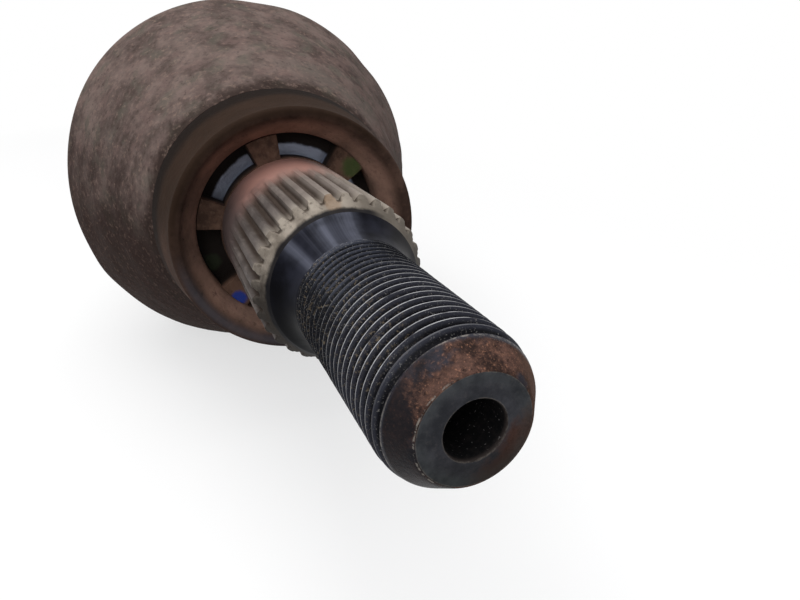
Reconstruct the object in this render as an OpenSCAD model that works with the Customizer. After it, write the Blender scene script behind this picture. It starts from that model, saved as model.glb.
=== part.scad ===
// Wheel drive half shaft. A drilled, threaded and splined stub grows out of the bell of a ball joint.
// A bar with two bellows joins the bell to a three-roller joint that slides at the gearbox end.
// Sizes are in millimetres. The axle lies along Y with the stub's tip towards -Y, and Z is up.
// Positions along the axle are measured from the stub's tip.

/* [Stub] */
// Outside diameter of the wheel nut's thread
thread_d = 24; // [20:0.5:28]
// Distance from the tip to the inner end of the thread
thread_end = 45; // [34:0.5:50]
// Diameter of the flat end face
tip_face_d = 17; // [14:0.5:19]
// Length of the chamfer at the tip
tip_chamfer = 5.4; // [3:0.2:8]
// Diameter of the drilled hole in the end
end_bore_d = 9; // [6:0.5:11]
// Depth of the drilled hole, without its drill point
end_bore_depth = 24; // [12:1:40]
// Length of the flared neck behind the thread
neck_length = 7.7; // [5:0.1:10]
// Diameter at the wide end of the neck
neck_d = 30.4; // [27:0.2:32]
// Diameter over the spline's teeth
spline_d = 35.8; // [34:0.2:40]
// Number of teeth on the wheel spline
spline_teeth = 32; // [26:1:36]
// Depth of the grooves between the teeth
spline_depth = 1.4; // [0.8:0.1:1.6]
// Length of the tapered start of the spline
spline_lead = 4.6; // [3:0.2:8]
// Distance from the tip to the start of the grooves' run-out
spline_run = 76; // [70:0.5:82]
// Length over which the grooves run out
spline_fade = 11; // [6:0.5:14]

/* [Shoulder] */
// Distance from the tip to the face of the shoulder
shoulder_at = 98.5; // [92:0.5:110]
// Diameter of the shoulder
shoulder_d = 48; // [44:0.5:52]
// Number of lands on the shoulder's face
land_count = 6; // [4:1:8]
// Width of one land in degrees
land_angle = 20; // [12:1:30]
// Clock angle of the first land, seen from the tip
land_clock = 44; // [0:1:60]
// Depth of the pockets between the lands
pocket_depth = 6; // [2:0.5:8]

/* [Deflector ring] */
// Thickness of the ring's sheet
ring_sheet = 1.5; // [1:0.1:2]
// Diameter at the ring's front lip
ring_lip_d = 59; // [56:0.5:64]
// How far the lip stands ahead of the shoulder
ring_lead = 7.1; // [4:0.1:10]
// Outside diameter at the back of the ring's skirt
ring_skirt_d = 67.6; // [65:0.2:72]
// How far the skirt reaches behind the shoulder
ring_reach = 11.5; // [9:0.5:14]
// Length of the sleeve that grips the shoulder
ring_grip = 9; // [6:0.5:9]

/* [Bell] */
// Thickness of the bell over its ball tracks
bell_wall = 8.1; // [7:0.1:12]
// Length of the dome, from the ring to the bell's rim
dome_length = 55; // [48:1:65]
// How far the dome swells out from a straight cone
dome_bulge = 1.2; // [0:0.1:2]
// Distance from the bell's rim to the centre of the ball joint
joint_behind_rim = 8; // [6:0.5:14]
// Distance from the centre of the ball joint to the bell's open end
mouth_behind_joint = 21; // [20:0.5:23]
// Length of the seat for the large end of the outer boot
bell_seat_length = 9.5; // [8:0.5:11]
// Depth of that seat below the bell
bell_seat_depth = 5.4; // [4.5:0.1:6]

/* [Ball joint] */
// Diameter of one ball
ball_d = 22.2; // [20:0.2:23]
// Diameter of the circle on which the balls run
ball_circle_d = 76; // [74:0.5:84]
// Room between a ball and its tracks
ball_room = 0.3; // [0.2:0.05:0.4]
// Thickness of the ball cage
cage_wall = 6; // [5:0.2:6.4]
// Half the width of the ball cage
cage_half = 15.5; // [14.5:0.1:17]
// Half the width of the inner race
race_half = 13.5; // [12:0.1:15]
// Length by which a cage window is longer than a ball
window_extra = 3.4; // [2.8:0.1:5]
// Largest bend of the ball joint in degrees
outer_bend = 42; // [30:1:42]

/* [Bar] */
// Distance between the centres of the two joints
joint_spacing = 360; // [330:1:460]
// Diameter of the middle of the bar
bar_d = 29; // [28:0.5:30]
// Diameter of the bar where it leaves the ball joint
outer_neck_d = 27; // [24:0.5:27]
// Diameter of the bar where it enters the roller joint
inner_neck_d = 25; // [22:0.5:25]
// Diameter of the splined ends of the bar
bar_end_d = 30; // [29:0.5:32]
// Depth of the grooves for the small ends of the boots
cuff_groove = 0.5; // [0.3:0.1:0.8]
// Thickness of the wire in the bar's retaining rings
ring_wire = 2; // [1.6:0.1:2.2]

/* [Boots] */
// Thickness of the boots, measured across the axle
boot_wall = 2.5; // [2:0.1:2.6]
// Length of the outer boot's folds
outer_fold_length = 102; // [90:1:120]
// Number of folds in the outer boot
outer_folds = 6; // [4:1:7]
// Length of the inner boot's folds
inner_fold_length = 82; // [70:1:100]
// Number of folds in the inner boot
inner_folds = 5; // [3:1:6]
// Depth of the boots' folds
fold_depth = 9; // [6:0.5:10]
// Length of a boot's small end
cuff_length = 14; // [12:0.5:18]
// Thickness of a boot's small end
cuff_wall = 3.4; // [3:0.1:5]

/* [Clamps] */
// Thickness of the clamp bands
clamp_sheet = 0.9; // [0.7:0.1:1.1]
// Width of the clamp bands
clamp_width = 7; // [6:0.5:8]
// Height of the crimped ear
ear_height = 4.6; // [4:0.2:6]
// Width of the crimped ear
ear_width = 9; // [7:0.5:11]
// Clock angle of the ears, seen from the tip
ear_clock = 143; // [90:1:200]

/* [Roller joint] */
// Distance from the axle to the middle of a roller
roller_centre = 29; // [28.5:0.1:31]
// Diameter of a roller's round outside
roller_d = 37; // [35:0.5:38]
// Width of a roller
roller_width = 18; // [15:0.5:18]
// Diameter of a trunnion
trunnion_d = 21.2; // [20:0.2:22]
// Diameter of one needle
needle_d = 2.4; // [2:0.1:2.6]
// Number of needles in one roller
needle_count = 22; // [16:1:24]
// Width of the spider's hub
spider_width = 24; // [20:1:26]
// Room at each side of a roller in its track
track_room = 0.75; // [0.72:0.01:1]
// Radius of the bore between the tracks
lobe_bore_r = 24; // [23.5:0.1:25]
// Radius of the flared mouth
flare_r = 32.5; // [32:0.1:33.5]
// Length of the flared mouth
flare_length = 24; // [23:0.5:26]
// Distance from the open end to the spider's centre
housing_lead = 34; // [32:0.5:36]
// Distance from the spider's centre to the bottom of the tracks
track_reach = 48.5; // [48:0.5:60]
// Thickness of the roller housing's walls
housing_wall = 6; // [5:0.2:7]
// Thickness of the bushing that rounds off the lobes
bushing_wall = 3.4; // [2.5:0.1:4]
// Length of that bushing
bushing_length = 14; // [12:0.5:18]

/* [Gearbox stub] */
// Length of the taper behind the roller housing
inner_taper = 14; // [8:0.5:20]
// Diameter of the journal for the oil seal
journal_d = 40; // [36:0.5:44]
// Length of that journal
journal_length = 18; // [12:0.5:24]
// Diameter over the gearbox spline's teeth
inner_spline_d = 31; // [28:0.5:34]
// Number of teeth on the gearbox spline
inner_teeth = 28; // [22:1:32]
// Length of the gearbox spline
inner_spline_length = 44; // [36:1:56]

/* [Hidden] */
$fn = 96;
sides = 3;
ball_count = 6;
fit_gap = 0.05;
soft_gap = 0.3;
overrun = 1;
turn = 360;

// Stub and shoulder
neck_end = thread_end + neck_length;
lead_slope = (spline_d - neck_d) / 2 / spline_lead;
lead_past = neck_end + (spline_d / 2 + overrun - neck_d / 2) / lead_slope;
root_cover = 0.4;
core_r = spline_d / 2 - spline_depth - root_cover;
core_at = neck_end + (core_r - neck_d / 2) / lead_slope;
origin_at = (tip_chamfer + thread_end) / 2;
neck_steps = 5;
neck_hollow = 0.7;
drill_point = 0.3;
pocket_gap = 0.2;
tooth_bury = 0.5;

// Bell and ball joint
ball_r = ball_d / 2;
path_r = ball_circle_d / 2;
track_r = ball_r + ball_room;
bell_r = path_r + track_r + bell_wall;
ring_space = 0.6;
dome_at = shoulder_at + ring_reach + ring_space;
dome_steps = 8;
rim_at = dome_at + dome_length;
joint_at = rim_at + joint_behind_rim;
mouth_at = joint_at + mouth_behind_joint;
seat_at = mouth_at - bell_seat_length;
seat_r = bell_r - bell_seat_depth;
cage_offset = 0.5;
cage_out_r = path_r + cage_wall / 2 + cage_offset;
cage_in_r = cage_out_r - cage_wall;
bell_bore_r = cage_out_r + soft_gap;
race_r = cage_in_r - soft_gap;
window_room = 0.7;
window_width = ball_d + window_room;
window_length = ball_d + window_extra;
track_margin = 2;
track_front = outer_bend / 2 + asin(track_r / path_r) + track_margin;
track_back = 62;
neck_room = 0.8;
bend_room = (outer_neck_d / 2 + neck_room) / cos(outer_bend);
edge = 1;

// Bar
bar_r = bar_d / 2;
bar_end_r = bar_end_d / 2;
wire_r = ring_wire / 2;
spider_at = joint_at + joint_spacing;
bar_overhang = 2;
clip_room = 0.1;
bar_start = joint_at - race_half - ring_wire - bar_overhang;
bar_stop = spider_at + spider_width / 2 + ring_wire + bar_overhang;
race_clip_at = joint_at - race_half - wire_r - clip_room;
stop_ring_at = spider_at - spider_width / 2 - wire_r - clip_room;
end_ring_at = spider_at + spider_width / 2 + wire_r + clip_room;
clip_groove_r = bar_end_r - wire_r;
clip_gap = 24;
bar_blend = 5;
bar_land = 2;

// Boots and clamps
cuff_seat_r = bar_r - cuff_groove;
cuff_in_r = cuff_seat_r + soft_gap;
cuff_out_r = cuff_in_r + cuff_wall;
boot_lead = 2;
cuff_run = 2;
lip_gap = 0.5;
lip_step = 1.5;
bushing_show = 1;
clamp_inset = 0.6;
inner_fullness = 0.6;
outer_cuff_at = mouth_at + boot_lead + outer_fold_length;
inner_cuff_stop = spider_at - housing_lead - boot_lead - inner_fold_length;
inner_cuff_at = inner_cuff_stop - cuff_length;
clamp_in_r = cuff_out_r + soft_gap;
fold_steps = 10;

// Roller joint
roller_r = roller_d / 2;
trunnion_r = trunnion_d / 2;
needle_r = needle_d / 2;
needle_path_r = trunnion_r + fit_gap + needle_r;
roller_bore_r = needle_path_r + needle_r + fit_gap;
hub_room = 0.4;
hub_r = roller_centre - roller_width / 2 - hub_room;
trunnion_extra = 2.6;
trunnion_tip = roller_centre + roller_width / 2 + trunnion_extra;
arm_root = 1;
retainer_sheet = 1.2;
retainer_gap = 0.3;
retainer_bite = 1;
retainer_slit = 3;
needle_play = 1;
tip_room = 1.8;
track_half = roller_r + track_room;
track_top = trunnion_tip + tip_room;
housing_r = track_top + housing_wall;
lobe_half = track_half + housing_wall;
valley_extra = 1.5;
valley_r = flare_r + housing_wall + valley_extra;
open_end = spider_at - housing_lead;
track_end = spider_at + track_reach;
floor_extra = 2;
housing_end = track_end + housing_wall + floor_extra;
bushing_r = housing_r + bushing_wall;

// Gearbox stub
journal_at = housing_end + inner_taper;
inner_spline_at = journal_at + journal_length;
stub_end = inner_spline_at + inner_spline_length;
circlip_inset = 5;
circlip_depth = 2.4;
taper_step = 2;
spline_chamfer = 2;
end_step = 0.5;
circlip_at = stub_end - circlip_inset;
journal_edge = 1.5;
circlip_wire = 1;

// Turns a piece drawn about Z onto the axle, with its height as the distance from the tip
module on_axle() {
    translate([0, -origin_at, 0])
        rotate([-90, 0, 0])
            children();
}

// Turns a feature to a clock angle seen from the tip
module at_clock(clock) {
    rotate([0, 0, clock - 90])
        children();
}

function blend(a, b, u) = a + (b - a) * u;

// Toothed section of a spline
module spline_section(outer_r, teeth, depth) {
    pitch = 2 * PI * outer_r / teeth;
    difference() {
        circle(r = outer_r);
        for (i = [0 : teeth - 1])
            rotate([0, 0, i * turn / teeth])
                polygon([
                    [outer_r - depth, -pitch * 0.1],
                    [outer_r + overrun, -pitch * 0.48],
                    [outer_r + overrun, pitch * 0.48],
                    [outer_r - depth, pitch * 0.1]
                ]);
    }
}

// Groove of one ball, swept about the joint's centre from one angle to another
module ball_track(from, to) {
    rotate([90, 0, 0])
        rotate([0, 0, from])
            rotate_extrude(angle = to - from)
                translate([path_r, 0])
                    circle(r = track_r);
}

// Slit ring of round wire in a groove of the bar
module wire_ring(at, inner_r, radius) {
    translate([0, 0, at])
        rotate([0, 0, clip_gap / 2])
            rotate_extrude(angle = turn - clip_gap)
                translate([inner_r + radius, 0])
                    circle(r = radius);
}

// Band with a crimped ear
module ear_clamp(at, inner_r) {
    translate([0, 0, at])
        at_clock(ear_clock)
            linear_extrude(clamp_width) {
                difference() {
                    circle(r = inner_r + clamp_sheet);
                    circle(r = inner_r);
                }
                difference() {
                    translate([inner_r + clamp_sheet / 2 - ear_width * ear_width / 8 / inner_r,
                        -ear_width / 2])
                        square([ear_height + ear_width * ear_width / 8 / inner_r, ear_width]);
                    circle(r = inner_r + clamp_sheet / 2);
                    translate([inner_r, -ear_width / 2 + clamp_sheet])
                        square([ear_height - clamp_sheet / 2, ear_width - 2 * clamp_sheet]);
                }
            }
}

// Outline of folds between two radii, with peaks at both ends
function folds(from, to, from_r, to_r, count, fullness) = [
    for (i = [0 : count * fold_steps])
        let (u = i / (count * fold_steps))
            [blend(to_r, from_r, pow(1 - u, fullness))
                - fold_depth * blend(1, 0.5, abs(from_r - to_r) * u / from_r)
                * (1 - cos(turn * count * u)) / 2, blend(from, to, u)]
];

function reversed(list) = [for (i = [len(list) - 1 : -1 : 0]) list[i]];

// Stub, shoulder and bell in one forging
module outer_housing() {
    neck = [for (i = [1 : neck_steps])
        let (u = i / neck_steps)
            [blend(thread_d / 2, neck_d / 2, u) - neck_hollow * 4 * u * (1 - u),
                blend(thread_end, neck_end, u)]];
    dome = [for (i = [0 : dome_steps])
        let (u = i / dome_steps)
            [blend(ring_skirt_d / 2, bell_r, u) + dome_bulge * 4 * u * (1 - u),
                blend(dome_at, rim_at, u)]];
    color("saddlebrown")
        on_axle()
            difference() {
                union() {
                    rotate_extrude()
                        polygon(concat(
                            [[0, 0], [tip_face_d / 2, 0], [thread_d / 2, tip_chamfer],
                                [thread_d / 2, thread_end]],
                            neck,
                            [[core_r, core_at], [core_r, spline_run],
                                [spline_d / 2, spline_run + spline_fade],
                                [spline_d / 2, shoulder_at], [shoulder_d / 2, shoulder_at],
                                [shoulder_d / 2, dome_at]],
                            dome,
                            [[bell_r, seat_at - edge], [bell_r - edge, seat_at], [seat_r, seat_at],
                                [seat_r, mouth_at - edge], [seat_r - edge, mouth_at], [0, mouth_at]]
                        ));
                    intersection() {
                        translate([0, 0, neck_end])
                            linear_extrude(spline_run + spline_fade + tooth_bury - neck_end)
                                spline_section(spline_d / 2, spline_teeth, spline_depth);
                        rotate_extrude()
                            polygon([[0, neck_end - overrun],
                                [neck_d / 2 - lead_slope * overrun, neck_end - overrun],
                                [spline_d / 2 + overrun, lead_past], [spline_d / 2 + overrun, shoulder_at],
                                [0, shoulder_at]]);
                    }
                }
                translate([0, 0, -overrun])
                    cylinder(d = end_bore_d, h = end_bore_depth + overrun);
                translate([0, 0, end_bore_depth])
                    cylinder(d1 = end_bore_d, d2 = 0, h = end_bore_d * drill_point);
                for (i = [0 : land_count - 1])
                    at_clock(land_clock + land_angle / 2 + i * turn / land_count)
                        translate([0, 0, shoulder_at - overrun])
                            rotate_extrude(angle = turn / land_count - land_angle)
                                translate([spline_d / 2 + pocket_gap, 0])
                                    square([(shoulder_d - spline_d) / 2 + overrun, pocket_depth + overrun]);
                translate([0, 0, joint_at]) {
                    sphere(r = bell_bore_r);
                    for (i = [0 : ball_count - 1])
                        rotate([0, 0, i * turn / ball_count])
                            ball_track(-track_front, track_back);
                    cylinder(r1 = bend_room, r2 = bend_room + 2 * mouth_behind_joint * tan(outer_bend),
                        h = 2 * mouth_behind_joint);
                }
            }
}

// Folded sheet ring on the shoulder
module deflector_ring() {
    sleeve_r = shoulder_d / 2 + fit_gap;
    lip_at = shoulder_at - ring_lead;
    lip_r = ring_lip_d / 2;
    skirt_r = ring_skirt_d / 2;
    skirt_end = shoulder_at + ring_reach;
    roll = ring_sheet;
    color("dimgray")
        on_axle()
            rotate_extrude()
                polygon([
                    [sleeve_r, shoulder_at + ring_grip],
                    [sleeve_r, shoulder_at],
                    [lip_r - roll * 0.9, lip_at + roll * 0.2],
                    [lip_r, lip_at],
                    [lip_r + roll * 0.5, lip_at + roll * 0.2],
                    [lip_r + roll * 0.8, lip_at + roll * 0.8],
                    [skirt_r, skirt_end],
                    [skirt_r - ring_sheet, skirt_end],
                    [lip_r - roll * 0.5, lip_at + roll * 1.7],
                    [sleeve_r + ring_sheet, shoulder_at + roll * 0.7],
                    [sleeve_r + ring_sheet, shoulder_at + ring_grip]
                ]);
}

module inner_race() {
    color("lightslategray")
        on_axle()
            translate([0, 0, joint_at])
                difference() {
                    intersection() {
                        sphere(r = race_r);
                        cylinder(r = race_r + overrun, h = 2 * race_half, center = true);
                    }
                    cylinder(r = bar_end_r + fit_gap, h = 4 * race_half, center = true);
                    for (i = [0 : ball_count - 1])
                        rotate([0, 0, i * turn / ball_count])
                            ball_track(-track_back, track_back);
                }
}

module ball_cage() {
    color("slategray")
        on_axle()
            translate([0, 0, joint_at])
                difference() {
                    intersection() {
                        sphere(r = cage_out_r);
                        cylinder(r = cage_out_r + overrun, h = 2 * cage_half, center = true);
                    }
                    sphere(r = cage_in_r);
                    for (i = [0 : ball_count - 1])
                        rotate([0, 0, i * turn / ball_count])
                            translate([path_r, 0, 0])
                                cube([4 * cage_wall, window_length, window_width], center = true);
                }
}

module ball(number) {
    color("silver")
        on_axle()
            rotate([0, 0, (number - 1) * turn / ball_count])
                translate([path_r, 0, joint_at])
                    sphere(r = ball_r);
}

module race_retaining_ring() {
    color("gray")
        on_axle()
            wire_ring(race_clip_at, clip_groove_r + fit_gap, wire_r);
}

// Bellows over the ball joint
module outer_boot() {
    fold_from = mouth_at + boot_lead;
    peak_r = seat_r + boot_wall;
    outside = folds(fold_from, outer_cuff_at, peak_r, cuff_out_r + fold_depth * 0.4, outer_folds, 1);
    inside = [for (p = outside) [p[0] - boot_wall, p[1]]];
    color("black")
        on_axle()
            rotate_extrude()
                polygon(concat(
                    [[seat_r + fit_gap, seat_at + lip_gap], [peak_r, seat_at + lip_gap]],
                    outside,
                    [[cuff_out_r, outer_cuff_at + cuff_run], [cuff_out_r, outer_cuff_at + cuff_length],
                        [cuff_in_r, outer_cuff_at + cuff_length], [cuff_in_r, outer_cuff_at + cuff_run]],
                    reversed(inside),
                    [[seat_r + fit_gap, fold_from - lip_step]]
                ));
}

module outer_large_clamp() {
    color("silver")
        on_axle()
            ear_clamp(mouth_at - clamp_width - clamp_inset, seat_r + boot_wall + fit_gap);
}

module outer_small_clamp() {
    color("silver")
        on_axle()
            ear_clamp(outer_cuff_at + (cuff_length + cuff_run - clamp_width) / 2, clamp_in_r);
}

// Bar with its splined ends and the grooves for the boots and rings
module axle_bar() {
    color("sienna")
        on_axle()
            difference() {
                rotate_extrude()
                    polygon([
                        [0, bar_start], [bar_end_r - edge, bar_start], [bar_end_r, bar_start + edge],
                        [bar_end_r, joint_at + race_half + bar_land],
                        [outer_neck_d / 2, joint_at + race_half + bar_land + bar_blend],
                        [outer_neck_d / 2, outer_cuff_at - 2 * bar_blend],
                        [bar_r, outer_cuff_at - bar_blend],
                        [bar_r, outer_cuff_at], [cuff_seat_r, outer_cuff_at + edge],
                        [cuff_seat_r, outer_cuff_at + cuff_length + edge],
                        [bar_r, outer_cuff_at + cuff_length + 2 * edge],
                        [bar_r, inner_cuff_at - 2 * edge], [cuff_seat_r, inner_cuff_at - edge],
                        [cuff_seat_r, inner_cuff_stop - edge], [bar_r, inner_cuff_stop],
                        [bar_r, inner_cuff_stop + bar_blend],
                        [inner_neck_d / 2, inner_cuff_stop + 2 * bar_blend],
                        [inner_neck_d / 2, stop_ring_at - bar_land - bar_blend],
                        [bar_end_r, stop_ring_at - bar_land],
                        [bar_end_r, bar_stop - edge], [bar_end_r - edge, bar_stop], [0, bar_stop]
                    ]);
                for (at = [race_clip_at, stop_ring_at, end_ring_at])
                    translate([0, 0, at])
                        rotate_extrude()
                            translate([clip_groove_r, -wire_r - fit_gap])
                                square([ring_wire, ring_wire + 2 * fit_gap]);
            }
}

module inner_small_clamp() {
    color("silver")
        on_axle()
            ear_clamp(inner_cuff_at + (cuff_length - cuff_run - clamp_width) / 2, clamp_in_r);
}

// Bellows over the roller joint
module inner_boot() {
    fold_to = open_end - boot_lead;
    peak_r = bushing_r + boot_wall;
    lip_stop = open_end + bushing_length - bushing_show;
    outside = reversed(folds(fold_to, inner_cuff_stop, peak_r, cuff_out_r + fold_depth * 0.4, inner_folds,
        inner_fullness));
    inside = [for (p = outside) [p[0] - boot_wall, p[1]]];
    color("black")
        on_axle()
            rotate_extrude()
                polygon(concat(
                    [[cuff_in_r, inner_cuff_at], [cuff_out_r, inner_cuff_at],
                        [cuff_out_r, inner_cuff_stop - cuff_run]],
                    outside,
                    [[peak_r, lip_stop], [bushing_r + fit_gap, lip_stop],
                        [bushing_r + fit_gap, fold_to + lip_step]],
                    reversed(inside),
                    [[cuff_in_r, inner_cuff_stop - cuff_run]]
                ));
}

module inner_large_clamp() {
    color("silver")
        on_axle()
            ear_clamp(open_end + (bushing_length - bushing_show - clamp_width) / 2,
                bushing_r + boot_wall + fit_gap);
}

// Places a piece on one of the spider's three arms, with the arm along Z
module on_arm(number) {
    translate([0, 0, spider_at])
        at_clock((number - 1) * turn / sides)
            rotate([0, 90, 0])
                children();
}

module tripod_spider() {
    color("lightslategray")
        on_axle()
            difference() {
                union() {
                    translate([0, 0, spider_at - spider_width / 2])
                        cylinder(r = hub_r, h = spider_width);
                    for (i = [1 : sides])
                        on_arm(i)
                            translate([0, 0, bar_end_r + arm_root])
                                cylinder(r = trunnion_r, h = trunnion_tip - bar_end_r - arm_root);
                }
                translate([0, 0, spider_at - spider_width])
                    cylinder(r = bar_end_r + fit_gap, h = 2 * spider_width);
                for (i = [1 : sides])
                    on_arm(i)
                        translate([0, 0, roller_centre + roller_width / 2 + retainer_gap])
                            difference() {
                                cylinder(r = trunnion_r + overrun, h = retainer_sheet + 2 * fit_gap);
                                translate([0, 0, -overrun])
                                    cylinder(r = trunnion_r - retainer_bite,
                                        h = retainer_sheet + 2 * overrun);
                            }
            }
}

module roller(number) {
    color("silver")
        on_axle()
            on_arm(number)
                translate([0, 0, roller_centre])
                    difference() {
                        intersection() {
                            sphere(r = roller_r);
                            cylinder(r = roller_r + overrun, h = roller_width, center = true);
                        }
                        cylinder(r = roller_bore_r, h = 2 * roller_width, center = true);
                    }
}

module needle_set(number) {
    color("gainsboro")
        on_axle()
            on_arm(number)
                for (i = [0 : needle_count - 1])
                    rotate([0, 0, i * turn / needle_count])
                        translate([needle_path_r, 0, roller_centre])
                            cylinder(r = needle_r, h = roller_width - needle_play, center = true, $fn = 24);
}

module roller_retainer(number) {
    color("gray")
        on_axle()
            on_arm(number)
                translate([0, 0, roller_centre + roller_width / 2 + retainer_gap + fit_gap])
                    difference() {
                        cylinder(r = roller_bore_r + retainer_bite, h = retainer_sheet);
                        translate([0, 0, -overrun])
                            cylinder(r = trunnion_r - retainer_bite + fit_gap,
                                h = retainer_sheet + 2 * overrun);
                        translate([0, -retainer_slit / 2, -overrun])
                            cube([roller_bore_r + 2 * retainer_bite, retainer_slit,
                                retainer_sheet + 2 * overrun]);
                    }
}

module spider_stop_ring() {
    color("gray")
        on_axle()
            wire_ring(stop_ring_at, clip_groove_r + fit_gap, wire_r);
}

module spider_retaining_ring() {
    color("gray")
        on_axle()
            wire_ring(end_ring_at, clip_groove_r + fit_gap, wire_r);
}

// Lobed outline of the roller housing, grown by a gap
module lobed_outline(grow) {
    circle(r = valley_r + grow);
    for (i = [0 : sides - 1])
        at_clock(i * turn / sides)
            intersection() {
                translate([0, -lobe_half - grow])
                    square([housing_r + 2 * overrun, 2 * (lobe_half + grow)]);
                circle(r = housing_r + grow);
            }
}

// Roller housing with its gearbox stub in one forging
module inner_housing() {
    color("sienna")
        on_axle()
            difference() {
                union() {
                    translate([0, 0, open_end])
                        linear_extrude(housing_end - open_end)
                            lobed_outline(0);
                    rotate_extrude()
                        polygon([
                            [0, housing_end - overrun], [valley_r - taper_step, housing_end - overrun],
                            [valley_r - taper_step, housing_end],
                            [journal_d / 2 + taper_step, journal_at - taper_step],
                            [journal_d / 2, journal_at], [journal_d / 2, inner_spline_at - journal_edge],
                            [journal_d / 2 - journal_edge, inner_spline_at],
                            [inner_spline_d / 2 - spline_chamfer, inner_spline_at],
                            [inner_spline_d / 2 - spline_chamfer, stub_end - end_step],
                            [0, stub_end - end_step]
                        ]);
                    intersection() {
                        translate([0, 0, inner_spline_at - end_step])
                            linear_extrude(inner_spline_length + end_step)
                                spline_section(inner_spline_d / 2, inner_teeth, spline_depth);
                        rotate_extrude()
                            polygon([[0, inner_spline_at - overrun],
                                [inner_spline_d, inner_spline_at - overrun],
                                [inner_spline_d, stub_end - inner_spline_d / 2 - spline_chamfer],
                                [inner_spline_d / 2 - spline_chamfer, stub_end], [0, stub_end]]);
                    }
                }
                translate([0, 0, open_end - overrun])
                    cylinder(r = lobe_bore_r, h = track_end - open_end + overrun);
                translate([0, 0, open_end - overrun])
                    cylinder(r1 = flare_r + (flare_r - lobe_bore_r) / flare_length * overrun,
                        r2 = lobe_bore_r,
                        h = flare_length + overrun);
                translate([0, 0, open_end - overrun])
                    linear_extrude(track_end - open_end + overrun)
                        for (i = [0 : sides - 1])
                            at_clock(i * turn / sides)
                                translate([0, -track_half])
                                    square([track_top, 2 * track_half]);
                translate([0, 0, circlip_at])
                    rotate_extrude()
                        translate([inner_spline_d / 2 - circlip_depth, -circlip_wire - fit_gap])
                            square([2 * circlip_depth, 2 * circlip_wire + 2 * fit_gap]);
            }
}

// Bushing that rounds off the lobes under the boot
module lobed_bushing() {
    color("dimgray")
        on_axle()
            translate([0, 0, open_end])
                linear_extrude(bushing_length)
                    difference() {
                        circle(r = bushing_r);
                        lobed_outline(fit_gap);
                    }
}

module gearbox_circlip() {
    color("gray")
        on_axle()
            wire_ring(circlip_at, inner_spline_d / 2 - circlip_depth + fit_gap, circlip_wire);
}

outer_housing();
deflector_ring();
inner_race();
ball_cage();
ball(1);  // ball_1
ball(2);  // ball_2
ball(3);  // ball_3
ball(4);  // ball_4
ball(5);  // ball_5
ball(6);  // ball_6
race_retaining_ring();
outer_boot();
outer_large_clamp();
outer_small_clamp();
axle_bar();
inner_small_clamp();
inner_boot();
inner_large_clamp();
tripod_spider();
roller(1);  // roller_1
roller(2);  // roller_2
roller(3);  // roller_3
needle_set(1);  // needle_set_1
needle_set(2);  // needle_set_2
needle_set(3);  // needle_set_3
roller_retainer(1);  // roller_retainer_1
roller_retainer(2);  // roller_retainer_2
roller_retainer(3);  // roller_retainer_3
spider_stop_ring();
spider_retaining_ring();
inner_housing();
lobed_bushing();
gearbox_circlip();
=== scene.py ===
import math

import bmesh
import bpy
import numpy as np
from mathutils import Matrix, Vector


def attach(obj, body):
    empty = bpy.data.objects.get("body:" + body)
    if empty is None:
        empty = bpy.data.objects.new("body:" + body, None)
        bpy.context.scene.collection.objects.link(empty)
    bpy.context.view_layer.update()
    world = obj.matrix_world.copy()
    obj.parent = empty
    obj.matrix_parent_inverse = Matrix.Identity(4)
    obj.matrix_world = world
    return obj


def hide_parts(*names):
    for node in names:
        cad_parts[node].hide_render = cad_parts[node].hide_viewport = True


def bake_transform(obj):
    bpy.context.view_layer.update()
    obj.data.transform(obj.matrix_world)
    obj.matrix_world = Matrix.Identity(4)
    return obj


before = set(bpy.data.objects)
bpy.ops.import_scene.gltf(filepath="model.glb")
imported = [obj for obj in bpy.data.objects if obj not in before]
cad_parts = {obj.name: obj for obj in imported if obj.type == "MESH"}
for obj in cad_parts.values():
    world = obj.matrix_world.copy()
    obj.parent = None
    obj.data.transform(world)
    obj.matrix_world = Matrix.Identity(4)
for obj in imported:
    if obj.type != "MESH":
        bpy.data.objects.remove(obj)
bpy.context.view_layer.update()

# Sizes are in millimetres and degrees, and places are measured along the axle from the stub's tip
MM = 0.001
TURN = 360.0
TINY = 1e-6
ORIGIN = 25.2
FIT_GAP = 0.05
FLOOR_GAP = 0.1

# Stub
BORE_R = 4.5
BORE_DEPTH = 24.0
BORE_EDGE = 0.12
DRILL_POINT = 2.7
FACE_R = 8.5
FACE_EDGE = 0.25
CHAMFER = 3.8
CHAMFER_R = 11.25
CHAMFER_EASE = 3.6
THREAD_R = 12.0
THREAD_START = 3.2
THREAD_FADE = 1.6
THREAD_END = 45.0
PITCH = 2.0
THREAD_DEPTH = 1.227
NECK_END = 52.7
NECK_R = 15.2
NECK_HOLLOW = 0.7

# Wheel spline
TEETH = 32
SPLINE_R = 17.9
SPLINE_DEPTH = 1.4
SPLINE_RUN = 76.0
SPLINE_FADE = 11.0
CORE_COVER = 0.4
LEAD_END = 57.3

# Shoulder
SHOULDER = 98.5
SHOULDER_R = 24.0
LAND_CLOCK = 44.0
LAND_COUNT = 6
LAND_HALF = 10.0
LAND_GAP = 0.2
POCKET_DEPTH = 6.0
POCKET_STEP = 0.5

# Bell of the ball joint
DOME_START = 110.6
DOME_R = 33.8
DOME_BULGE = 1.2
DOME_ROOT_R = 28.0
RIM = 165.6
BELL_R = 57.5
BELL_EDGE = 1.0
SEAT = 185.1
SEAT_R = 52.1
MOUTH = 194.6
JOINT = 173.6
BALLS = 6
PATH_R = 38.0
TRACK_R = 11.4
TRACK_MARGIN = 2.0
BORE_SPHERE_R = 41.8
BEND_LIMIT = 42.0
BEND_NECK = 14.3
BEND_ROOM = BEND_NECK / math.cos(math.radians(BEND_LIMIT))
TRACK_FRONT = BEND_LIMIT / 2 + math.degrees(math.asin(TRACK_R / PATH_R)) + TRACK_MARGIN

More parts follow.
